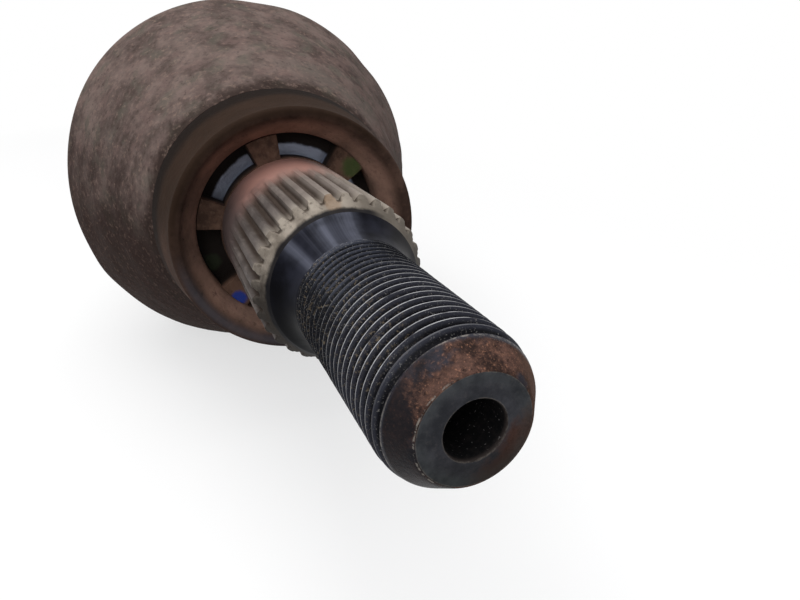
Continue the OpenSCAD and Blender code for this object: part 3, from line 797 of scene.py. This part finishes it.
# Coloured marks on the shoulder as radius, clock angle, size, strength and colour
SHOULDER_MARKS = [(22.0, 48.0, 3.4, 0.75, rgb(66, 84, 44)), (23.2, 222.0, 2.6, 0.9, rgb(34, 62, 150)),
                  (22.6, 248.0, 3.0, 0.6, rgb(58, 66, 48))]


def bell_rust():
    m = Recipe("bell_rust")
    broad = m.noise(26, 4, 0.55, seed=1)
    patch = m.noise(9, 6, 0.65, seed=2)
    grain = m.noise(1.6, 5, 0.7, seed=3)
    pits = m.spots(2.6, 4)
    m.color = m.mix(m.ramp(patch, 0.36, 0.66), rgb(77, 65, 61), rgb(119, 103, 97))
    tone = m.noise(6, 3, 0.5, seed=6)
    m.tint(m.ramp(tone, 0.5, 0.68), 0.6, rgb(92, 88, 79))
    m.tint(m.ramp(tone, 0.34, 0.48, True), 0.6, rgb(112, 93, 88))
    m.cover(m.ramp(broad, 0.52, 0.72), rgb(104, 94, 88))
    # Painted shade: the bell darker towards its lower left
    low = m.ragged(m.add(m.up, m.times(m.right, 0.3)), patch, 30.0, -8.0, 24.0, True)
    m.tint(low, 0.85, rgb(38, 22, 18))
    m.tint(m.ragged(m.along, patch, 8.0, *DOME_ROOT, True), 0.8, rgb(40, 29, 25))
    m.tint(m.ramp(grain, 0.5, 0.72), 0.65, rgb(142, 120, 110))
    m.tint(m.ramp(grain, 0.28, 0.46, True), 0.7, rgb(46, 36, 32))
    m.tint(m.ramp(pits, 0.05, 0.3, True), 0.45, rgb(44, 34, 30))
    rough = m.blend(m.ramp(grain, 0.3, 0.7), 0.72, 0.92)
    height = m.add(m.times(grain, 0.5), m.times(m.ramp(pits, 0.0, 0.35), 0.5))
    return m.done(rough, metal=0.0, normal=m.bump(height, 0.35, 0.8), shine=0.06)


def end_face_metal():
    m = Recipe("end_face_metal")
    cloud = m.noise(4, 6, 0.65, seed=4)
    fine = m.noise(0.7, 4, 0.6, seed=6)
    low_right = m.minus(m.times(m.right, 0.75), m.times(m.up, 0.66))
    rust_side = m.ragged(low_right, cloud, 11.0, 9.0, 12.5)
    m.color = m.mix(m.ramp(cloud, 0.35, 0.65), rgb(50, 51, 55), rgb(76, 76, 81))
    m.tint(m.ramp(fine, 0.52, 0.7), 0.4, rgb(86, 83, 84))
    m.tint(rust_side, 0.85, rgb(84, 57, 46))
    # Painted shade: the end face darker towards the bottom
    m.tint(m.ragged(m.up, cloud, 3.0, -6.0, 1.0, True), 0.55, rgb(24, 22, 21))
    grain = m.times(rust_side, m.ramp(m.noise(0.5, 4, 0.65, seed=7), 0.45, 0.65))
    m.tint(grain, 0.6, rgb(58, 40, 34))
    pale = m.times(m.ramp(m.radius, BORE_R + 1.2, FACE_R - 0.6), m.ramp(cloud, 0.3, 0.6))
    m.tint(pale, 0.3, rgb(84, 90, 88))
    outer_rim = m.ramp(m.radius, FACE_R - 0.5, FACE_R - 0.2)
    bore_rim = m.ramp(m.radius, BORE_R + BORE_EDGE, BORE_R + BORE_EDGE + 0.2, True)
    rims = m.times(m.math("MAXIMUM", outer_rim, bore_rim), m.ramp(fine, 0.35, 0.6))
    m.tint(rims, 0.45, rgb(132, 124, 114))
    rough = m.blend(rust_side, 0.45, 0.75)
    metal = m.blend(rust_side, 0.1, 0.0)
    turning_rings = m.math("SINE", m.times(m.radius, 14.0))
    height = m.add(m.add(fine, cloud), m.times(turning_rings, 0.10))
    return m.done(rough, metal, normal=m.bump(height, 0.08, 0.6), shine=0.04)


def rust_coat(m):
    """Colour the recipe as the tip's rust, and return where it is worn bare and how high it stands"""
    cloud = m.noise(5, 6, 0.65, seed=14)
    fine = m.noise(0.6, 5, 0.7, seed=16)
    upper_right = m.add(m.times(m.right, 0.75), m.times(m.up, 0.66))
    rimward = m.times(m.minus(FACE_R + 1.0, m.radius), 2.4)
    bare = m.ragged(m.add(upper_right, rimward), cloud, 18.0, 4.0, 9.0, True)
    m.color = m.mix(m.ramp(cloud, 0.38, 0.62), rgb(48, 37, 34), rgb(102, 76, 67))
    m.tint(m.ramp(fine, 0.5, 0.7), 0.65, rgb(132, 95, 79))
    m.tint(m.ramp(fine, 0.34, 0.48, True), 0.8, rgb(34, 27, 25))
    m.tint(m.ramp(m.noise(0.3, 3, 0.6, seed=17), 0.56, 0.7), 0.6, rgb(168, 122, 98))
    m.tint(m.ramp(m.noise(7, 4, 0.6, seed=18), 0.54, 0.62), 0.75, rgb(52, 55, 64))
    m.tint(bare, 0.9, rgb(27, 27, 31))
    m.tint(m.ramp(m.right, 6.0, 9.0), 0.5, rgb(108, 84, 72))
    return bare, m.add(fine, cloud)


def tip_rust():
    m = Recipe("tip_rust")
    bare, height = rust_coat(m)
    # Nicks along the face's rim with a painted highlight, kept to the left side where the light falls
    rim = m.math("ABSOLUTE", m.minus(m.radius, FACE_R - 0.05))
    nicks = m.times(m.ramp(rim, 0.04, 0.14, True), m.ramp(m.noise(0.7, 3, 0.6, seed=19), 0.46, 0.58),
                    m.ramp(m.right, -2.0, -6.0))
    m.tint(nicks, 0.75, rgb(156, 149, 140))
    rough = m.blend(bare, 0.74, 0.42)
    metal = m.blend(bare, 0.0, 0.15)
    return m.done(rough, metal, normal=m.bump(height, 0.18, 0.7), shine=0.04)


def thread_steel():
    m = Recipe("thread_steel")
    cloud = m.noise(6, 5, 0.6, seed=24)
    fine = m.noise(0.8, 4, 0.6, seed=25)
    left = m.times(m.right, -1.0)
    eased = m.math("DIVIDE", m.minus(m.along, CHAMFER), CHAMFER_EASE, clamp=True)
    short = m.math("POWER", m.minus(1.0, eased), 2.0)
    top = m.minus(THREAD_R, m.times(short, THREAD_R - CHAMFER_R))
    below = m.minus(top, m.radius)
    inner_end = m.ragged(m.add(m.along, m.times(left, 0.4)), cloud, 10.0, *THREAD_DARK)
    # Bright worn crests, with a painted highlight that is strongest on the side facing the light
    crest = m.times(m.ramp(below, 0.005, 0.05, True), m.ramp(m.along, *CREST_START),
                    m.blend(m.facing(CREST_LIGHT_CLOCK, 0.35, 0.9), 0.4, 1.0))
    worn = m.times(crest, m.blend(inner_end, m.ramp(fine, 0.2, 0.5), m.ramp(fine, 0.5, 0.8)))
    # Painted shade: the thread's colour darker the deeper it lies in the groove
    room = m.minus(top, THREAD_R - THREAD_DEPTH)
    shade = m.ramp(m.over(below, room), 0.08, 0.6)
    m.color = m.mix(shade, rgb(48, 49, 57), rgb(13, 13, 17))
    m.tint(inner_end, 0.85, rgb(14, 15, 19))
    sheen = m.times(m.facing(SHEEN_CLOCK, 0.75, 0.98), m.ramp(below, 0.1, 0.45, True), inner_end)
    m.tint(sheen, 0.35, rgb(92, 96, 110))
    dirt = m.times(m.ramp(left, 1.0, 8.0), m.ramp(m.along, *DIRT_START),
                   m.ramp(m.noise(0.6, 4, 0.7, seed=27), 0.54, 0.68))
    m.tint(dirt, 0.7, rgb(124, 110, 90))
    # Crests lightened, partly wear and partly painted highlight
    m.tint(worn, 0.85, rgb(190, 190, 193))
    from_edge = m.math("ABSOLUTE", m.minus(m.along, CHAMFER + 0.25))
    edge = m.times(m.ramp(from_edge, 0.05, 0.25, True), m.ramp(fine, 0.4, 0.6))
    m.tint(edge, 0.6, rgb(150, 143, 136))
    dust = m.times(m.ramp(m.noise(0.24, 3, 0.65, seed=29), 0.56, 0.72), m.ramp(cloud, 0.25, 0.55))
    m.tint(dust, 0.6, rgb(142, 139, 136))
    thread_color = m.color
    bare, coat_height = rust_coat(m)
    tip = m.ragged(m.along, cloud, 2.0, *TIP_RUST_END, True)
    m.color = m.mix(tip, thread_color, m.color)
    rough = m.blend(tip, m.blend(worn, 0.4, 0.32), m.blend(bare, 0.74, 0.42))
    metal = m.blend(m.math("MAXIMUM", dirt, tip), 0.25, 0.0)
    height = m.add(fine, m.times(coat_height, tip))
    return m.done(rough, metal, normal=m.bump(height, 0.08, 0.6), shine=0.05)


def neck_dark_painted_sheen():
    m = Recipe("neck_dark_painted_sheen")
    cloud = m.noise(7, 4, 0.55, seed=31)
    streak = m.noise(4.5, 4, 0.55, place=m.fan(NECK_R), seed=33)
    m.color = m.mix(m.ramp(cloud, 0.35, 0.68), rgb(14, 14, 18), rgb(38, 39, 48))
    # Painted shade: darker towards the bottom
    m.tint(m.ragged(m.up, cloud, 4.0, 0.0, 10.0, True), 0.8, rgb(9, 9, 12))
    # Painted sheen: light streaks on the upper left, standing in for the neck's gloss
    sheen = m.times(m.facing(SHEEN_CLOCK, 0.8, 0.98), m.ramp(streak, 0.36, 0.66), m.ramp(cloud, 0.25, 0.55))
    m.tint(sheen, 0.8, rgb(124, 127, 142))
    # Painted light: lighter grey towards the right edge
    m.tint(m.ragged(m.right, cloud, 6.0, 9.0, 15.0), 0.6, rgb(58, 56, 57))
    rough = m.blend(m.ramp(streak, 0.35, 0.7), 0.3, 0.45)
    return m.done(rough, metal=0.0, normal=m.bump(cloud, 0.1, 0.3), shine=0.015)


def lead_wear():
    m = Recipe("lead_wear")
    fine = m.noise(1.1, 5, 0.65, seed=41)
    cloud = m.noise(4, 5, 0.6, seed=42)
    m.color = m.mix(m.ramp(cloud, 0.35, 0.65), rgb(120, 111, 101), rgb(162, 152, 140))
    m.tint(m.ramp(fine, 0.52, 0.7), 0.6, rgb(78, 68, 58))
    m.tint(m.ragged(m.right, cloud, 8.0, 4.0, 11.0), 0.75, rgb(104, 97, 88))
    # Painted shade: the lead darker towards the bottom
    m.tint(m.ragged(m.up, cloud, 8.0, 2.0, 13.0, True), 0.9, rgb(44, 39, 36))
    m.tint(m.dab(16.9, 355.0, 2.2), 0.4, rgb(140, 108, 78))
    slope = (SPLINE_R - NECK_R) / (LEAD_END - NECK_END)
    cone = m.add(NECK_R, m.times(m.minus(m.along, NECK_END), slope))
    m.tint(m.ramp(m.minus(cone, m.radius), 0.05, 0.9), 0.85, rgb(58, 49, 42))
    black = m.times(m.ragged(m.along, cloud, 1.2, *LEAD_BLACK, True), m.ramp(m.right, 5.0, 10.0, True))
    m.tint(black, 0.95, rgb(17, 17, 22))
    rough = m.blend(black, 0.55, 0.4)
    metal = m.blend(black, 0.05, 0.0)
    return m.done(rough, metal, normal=m.bump(m.add(fine, cloud), 0.12, 0.6), shine=0.03)


def spline_steel():
    m = Recipe("spline_steel")
    fine = m.noise(1.4, 5, 0.65, place=m.stretched((1.0, 0.35, 1.0)), seed=51)
    cloud = m.noise(6, 5, 0.6, seed=52)
    m.color = m.mix(m.ramp(cloud, 0.35, 0.65), rgb(72, 65, 62), rgb(98, 90, 86))
    m.tint(m.ramp(fine, 0.5, 0.7), 0.5, rgb(126, 117, 112))
    right_side = m.ragged(m.right, cloud, 5.0, 4.0, 10.0)
    m.tint(right_side, 0.75, rgb(148, 140, 130))
    # Painted light: the teeth lighter on top
    m.tint(m.ragged(m.up, cloud, 4.0, 15.0, 20.0), 0.5, rgb(150, 138, 129))
    # Red rust at the back of the teeth, with painted light that makes it lighter towards the top and
    # brightens it under the ring's shadow
    red_rust_painted_light = m.mix(m.ragged(m.up, cloud, 5.0, 8.5, 20.0), rgb(80, 67, 65), rgb(162, 118, 107))
    red_rust_painted_light = m.mix(m.times(right_side, 0.7), red_rust_painted_light, rgb(142, 126, 119))
    back = m.ragged(m.along, cloud, 14.0, *SPLINE_RED)
    m.tint(back, 0.9, red_rust_painted_light)
    groove = m.ramp(m.radius, SPLINE_R - 1.1, SPLINE_R - 0.25, True)
    m.tint(groove, 0.85, rgb(62, 51, 44))
    # Pale worn front of the teeth, kept to the upper side as painted light
    front = m.times(m.ragged(m.along, cloud, 4.0, *TEETH_PALE, True), m.ramp(m.up, 2.0, 12.0))
    m.tint(front, 0.5, rgb(166, 156, 144))
    rough = m.blend(groove, 0.5, 0.7)
    metal = m.blend(m.math("MAXIMUM", groove, back), 0.3, 0.05)
    return m.done(rough, metal, normal=m.bump(fine, 0.08, 0.6), shine=0.08)


def land_rust():
    m = Recipe("land_rust")
    cloud = m.noise(4, 5, 0.6, seed=61)
    fine = m.noise(1.0, 5, 0.65, seed=62)
    m.color = m.mix(m.ramp(cloud, 0.38, 0.62), rgb(70, 52, 43), rgb(104, 79, 66))
    m.tint(m.ramp(fine, 0.5, 0.7), 0.5, rgb(122, 98, 83))
    # Painted shade: dark in the pockets below the lands
    m.cover(m.ramp(m.along, SHOULDER + 0.6, SHOULDER + 3.5), rgb(32, 26, 23))
    glint = m.times(m.ragged(m.radius, cloud, 1.5, SHOULDER_R - 2.8, SHOULDER_R - 2.0, True),
                    m.ramp(m.along, SHOULDER + 4.5, SHOULDER + 5.6), m.ramp(m.up, 0.0, 12.0))
    m.tint(glint, 0.7, rgb(138, 144, 160))
    for radius, clock, size, strength, shade in SHOULDER_MARKS:
        m.tint(m.dab(radius, clock, size), strength, shade)
    rough = m.blend(glint, 0.7, 0.32)
    metal = m.blend(glint, 0.0, 0.6)
    return m.done(rough, metal, normal=m.bump(m.add(fine, cloud), 0.2, 0.7), shine=0.1)


def bearing_steel():
    m = Recipe("bearing_steel")
    cloud = m.noise(8, 4, 0.6, seed=71)
    fine = m.noise(1.2, 4, 0.6, seed=72)
    m.color = m.mix(m.ramp(cloud, 0.35, 0.65), rgb(140, 140, 142), rgb(166, 165, 165))
    rough = m.blend(fine, 0.17, 0.37)
    return m.done(rough, metal=0.85, normal=m.bump(fine, 0.03, 0.5), shine=0.5)


def bore_dark():
    m = Recipe("bore_dark")
    fine = m.noise(1.0, 5, 0.65, seed=75)
    # Painted shade: the bore and the bell's inside near black, lighter only close to the bore's mouth
    m.color = m.mix(m.ramp(fine, 0.45, 0.7), rgb(10, 10, 11), rgb(26, 23, 23))
    m.cover(m.ramp(m.along, 0.1, 1.0, True), rgb(52, 46, 44))
    rim = m.times(m.ramp(m.along, 0.04, 0.25, True), m.ramp(fine, 0.4, 0.65))
    m.tint(rim, 0.4, rgb(120, 113, 106))
    m.cover(m.ramp(m.noise(0.4, 2, 0.5, seed=77), 0.64, 0.72), rgb(96, 93, 92))
    return m.done(rough=0.7, metal=0.05, normal=m.bump(fine, 0.15, 0.7), shine=0.1)


def ring_paint():
    m = Recipe("ring_paint")
    cloud = m.noise(9, 5, 0.6, seed=81)
    fine = m.noise(1.5, 5, 0.68, seed=82)
    m.color = m.mix(m.ramp(cloud, 0.38, 0.64), rgb(70, 54, 47), rgb(96, 74, 64))
    funnel = m.ramp(m.radius, RING_LIP_R - 3.5, RING_LIP_R - 0.8, True)
    funnel_color = m.mix(m.ramp(cloud, 0.4, 0.6), rgb(146, 117, 103), rgb(176, 139, 122))
    m.tint(funnel, 0.85, funnel_color)
    m.tint(m.ramp(fine, 0.5, 0.7), 0.35, rgb(112, 86, 74))
    m.tint(m.ramp(fine, 0.3, 0.45, True), 0.5, rgb(34, 26, 23))
    # Painted shade: the ring's outer wall darker on its upper left
    outer = m.times(m.ramp(m.up, -10.0, 8.0), m.ramp(m.radius, RING_LIP_R - 1.6, RING_LIP_R + 0.6),
                    m.ramp(m.right, 28.0, 18.0))
    m.tint(outer, 0.9, rgb(40, 28, 20))
    # Painted shade: near black at the back of the skirt, in the crease beside the dome
    m.tint(m.ragged(m.along, cloud, 6.0, *RING_DARK), 0.8, rgb(15, 11, 10))
    # Painted highlight: a blue-grey line along the lip's lower edge
    from_lip = m.math("ABSOLUTE", m.minus(m.radius, RING_LIP_R - 0.4))
    lip_painted_highlight = m.times(m.ramp(from_lip, 0.3, 1.9, True), m.ramp(m.up, 0.0, -14.0))
    m.tint(lip_painted_highlight, 0.5, rgb(86, 87, 95))
    # Painted shade: the skirt's very end darker where it meets the dome
    m.tint(m.ramp(m.along, RING_SKIRT_END - 1.6, RING_SKIRT_END - 0.2), 0.8, rgb(28, 22, 20))
    rough = m.blend(fine, 0.65, 0.85)
    return m.done(rough, metal=0.0, normal=m.bump(m.add(fine, cloud), 0.25, 0.7), shine=0.04)


def boot_rubber():
    m = Recipe("boot_rubber")
    cloud = m.noise(18, 5, 0.6, seed=91)
    fine = m.noise(1.2, 4, 0.6, seed=92)
    m.color = m.mix(m.ramp(cloud, 0.4, 0.68), rgb(26, 26, 27), rgb(48, 47, 46))
    dust = m.times(m.ramp(m.up, 0.0, 50.0), m.ramp(cloud, 0.42, 0.62))
    m.tint(dust, 0.4, rgb(96, 88, 78))
    rough = m.blend(fine, 0.5, 0.68)
    return m.done(rough, metal=0.0, normal=m.bump(fine, 0.08, 0.5), shine=0.16)


def clamp_steel():
    m = Recipe("clamp_steel")
    cloud = m.noise(7, 5, 0.6, seed=101)
    fine = m.noise(1.0, 4, 0.6, seed=102)
    m.color = m.mix(m.ramp(cloud, 0.4, 0.65), rgb(150, 148, 142), rgb(182, 180, 174))
    m.tint(m.ramp(fine, 0.55, 0.7), 0.5, rgb(122, 92, 70))
    rough = m.blend(fine, 0.28, 0.5)
    return m.done(rough, metal=0.85, normal=m.bump(fine, 0.04, 0.4), shine=0.5)


def bushing_plastic():
    m = Recipe("bushing_plastic")
    fine = m.noise(1.0, 4, 0.6, seed=111)
    m.color = m.mix(m.ramp(fine, 0.4, 0.7), rgb(40, 40, 42), rgb(62, 61, 60))
    return m.done(rough=0.6, metal=0.0, normal=m.bump(fine, 0.05, 0.4), shine=0.2)


def bar_finish():
    m = Recipe("bar_finish")
    cloud = m.noise(14, 6, 0.66, seed=121)
    fine = m.noise(1.8, 5, 0.68, seed=122)
    paint = m.mix(m.ramp(fine, 0.4, 0.7), rgb(30, 28, 28), rgb(52, 48, 46))
    rust = m.mix(m.ramp(fine, 0.35, 0.68), rgb(82, 56, 42), rgb(130, 92, 70))
    rusted = m.ramp(m.add(m.times(cloud, 0.75), m.times(fine, 0.25)), 0.47, 0.56)
    m.color = m.mix(rusted, paint, rust)
    rough = m.blend(rusted, 0.4, 0.8)
    return m.done(rough, metal=0.0, normal=m.bump(m.add(rusted, fine), 0.2, 0.6), shine=0.15)


def inner_forging():
    m = Recipe("inner_forging")
    cloud = m.noise(11, 6, 0.65, seed=131)
    grain = m.noise(1.7, 5, 0.7, seed=132)
    m.color = m.mix(m.ramp(cloud, 0.38, 0.64), rgb(66, 53, 47), rgb(110, 88, 76))
    m.tint(m.ramp(grain, 0.5, 0.72), 0.6, rgb(134, 108, 94))
    m.tint(m.ramp(grain, 0.3, 0.45, True), 0.7, rgb(42, 33, 30))
    ground = m.ramp(m.along, JOURNAL - 0.6, JOURNAL + 0.6)
    bright = m.mix(m.ramp(cloud, 0.4, 0.65), rgb(128, 128, 128), rgb(164, 163, 160))
    m.cover(ground, bright)
    rough = m.blend(ground, m.blend(grain, 0.6, 0.86), 0.3)
    metal = m.blend(ground, 0.0, 0.75)
    height = m.times(grain, m.blend(ground, 1.0, 0.06))
    return m.done(rough, metal, normal=m.bump(height, 0.35, 0.8), shine=0.08)


def spring_wire():
    m = Recipe("spring_wire")
    fine = m.noise(1.0, 4, 0.6, seed=141)
    m.color = m.mix(m.ramp(fine, 0.4, 0.7), rgb(40, 41, 46), rgb(70, 71, 76))
    return m.done(rough=0.35, metal=0.8, normal=m.bump(fine, 0.03, 0.4), shine=0.5)


def dress(piece, *materials):
    """Give a piece its materials, and keep which face has which"""
    kinds = [0] * len(piece.data.polygons)
    piece.data.polygons.foreach_get("material_index", kinds)
    piece.data.materials.clear()
    for material in materials:
        piece.data.materials.append(material)
    piece.data.polygons.foreach_set("material_index", kinds)


dress(housing, end_face_metal(), tip_rust(), thread_steel(), neck_dark_painted_sheen(), lead_wear(), spline_steel(),
      land_rust(), bell_rust(), bore_dark())
dress(ring, ring_paint())
rubber = boot_rubber()
for part in (outer_boot, inner_boot_large, inner_boot_small):
    dress(part, rubber)
forging = inner_forging()
for part in (roller_housing, gear_stub):
    dress(part, forging)

# The other pieces are the frame's own solids
finishes = [
    (bar_finish(), ["axle_bar"]),
    (bushing_plastic(), ["lobed_bushing"]),
    (clamp_steel(), ["outer_large_clamp", "outer_small_clamp", "inner_small_clamp", "inner_large_clamp"]),
    (bearing_steel(), ["inner_race", "ball_cage", "tripod_spider"]
     + [f"ball_{number}" for number in range(1, BALLS + 1)]
     + [f"{kind}_{number}" for kind in ("roller", "needle_set") for number in range(1, LOBES + 1)]),
    (spring_wire(), ["race_retaining_ring", "spider_stop_ring", "spider_retaining_ring", "gearbox_circlip"]
     + [f"roller_retainer_{number}" for number in range(1, LOBES + 1)]),
]
for finish, names in finishes:
    for name in names:
        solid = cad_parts[name]
        solid.data.materials.clear()
        solid.data.materials.append(finish)


# Floor, light and camera, in metres

FLOOR = -(BELL_R + FLOOR_GAP) * MM
FLOOR_REACH = 6.0
AXLE_MIDDLE = 0.31
AXLE_HALF = 0.33
SHADOW_NEAR = 0.08
SHADOW_FAR = 0.3
SHADOW_SHARE = 0.66


def floor_paint():
    """Pale floor that keeps a soft shadow near the axle and is plain white further off"""
    m = Recipe("floor_paint")
    m.put(0.9, m.shader.inputs["Roughness"])
    m.put(0.1, m.shader.inputs["Specular IOR Level"])
    m.put(m.seen_white((0.10, 0.10, 0.10, 1)), m.shader.inputs["Base Color"])
    past_end = m.minus(m.math("ABSOLUTE", m.minus(m.y, AXLE_MIDDLE)), AXLE_HALF)
    far = m.length(m.x, m.math("MAXIMUM", past_end, 0.0))
    plain = m.blend(m.ramp(far, SHADOW_NEAR, SHADOW_FAR), SHADOW_SHARE, 1.0)
    white = m.new("ShaderNodeEmission").outputs[0]
    inputs = {0: m.times(m.seen(), plain), 1: m.shader.outputs[0], 2: white}
    m.put(m.make("ShaderNodeMixShader", inputs)[0], m.tree.nodes["Material Output"].inputs["Surface"])
    return m.material


sides = ((-1, -1), (1, -1), (1, 1), (-1, 1))
corners = [(x * FLOOR_REACH, y * FLOOR_REACH, FLOOR) for x, y in sides]
floor_mesh = bpy.data.meshes.new("floor")
floor_mesh.from_pydata(corners, [], [(0, 1, 2, 3)])
floor_mesh.materials.append(floor_paint())
floor = bpy.data.objects.new("floor", floor_mesh)
bpy.context.scene.collection.objects.link(floor)

world = bpy.data.worlds.new("studio")
bpy.context.scene.world = world
sky = Nodes(world)
sky_ramp = sky.new("ShaderNodeValToRGB")
sky_low, sky_high = sky_ramp.color_ramp.elements
sky_low.position = 0.0
sky_low.color = (0.06, 0.06, 0.07, 1)
sky_high.position = 0.9
sky_high.color = (0.44, 0.45, 0.47, 1)
sky.put(sky.parts(sky.new("ShaderNodeTexCoord").outputs["Generated"])[2], sky_ramp.inputs[0])
sky.put(sky.seen_white(sky_ramp.outputs[0]), sky.tree.nodes["Background"].inputs["Color"])


def soft_light(name, place, aim, size, power, tint):
    data = bpy.data.lights.new(name, "AREA")
    data.size = size
    data.energy = power
    data.color = tint
    lamp = bpy.data.objects.new(name, data)
    lamp.location = place
    lamp.rotation_euler = (Vector(aim) - Vector(place)).to_track_quat("-Z", "Y").to_euler()
    bpy.context.scene.collection.objects.link(lamp)


soft_light("overhead", place=(-0.25, 0.15, 1.3), aim=(0.0, 0.1, 0.0), size=1.4, power=15.5,
           tint=(1.0, 0.99, 0.97))
soft_light("front_fill", place=(-0.7, -0.9, 0.7), aim=(0.0, 0.05, 0.0), size=0.8, power=7.5,
           tint=(0.96, 0.98, 1.0))

# Place, and degrees turned to the right and down
CAMERA_PLACE = (-0.0333, -ORIGIN * MM - 0.0566, 0.0447)
CAMERA_RIGHT = 22.194
CAMERA_DOWN = 22.590
camera_data = bpy.data.cameras.new("camera")
camera_data.sensor_width = 36.0
camera_data.lens = 27.9
camera_data.clip_start = 0.005
camera_data.clip_end = 60.0
camera = bpy.data.objects.new("camera", camera_data)
camera.location = CAMERA_PLACE
camera.rotation_euler = np.radians((90 - CAMERA_DOWN, 0, -CAMERA_RIGHT))
bpy.context.scene.collection.objects.link(camera)
bpy.context.scene.camera = camera
bpy.context.scene.view_settings.view_transform = "Standard"
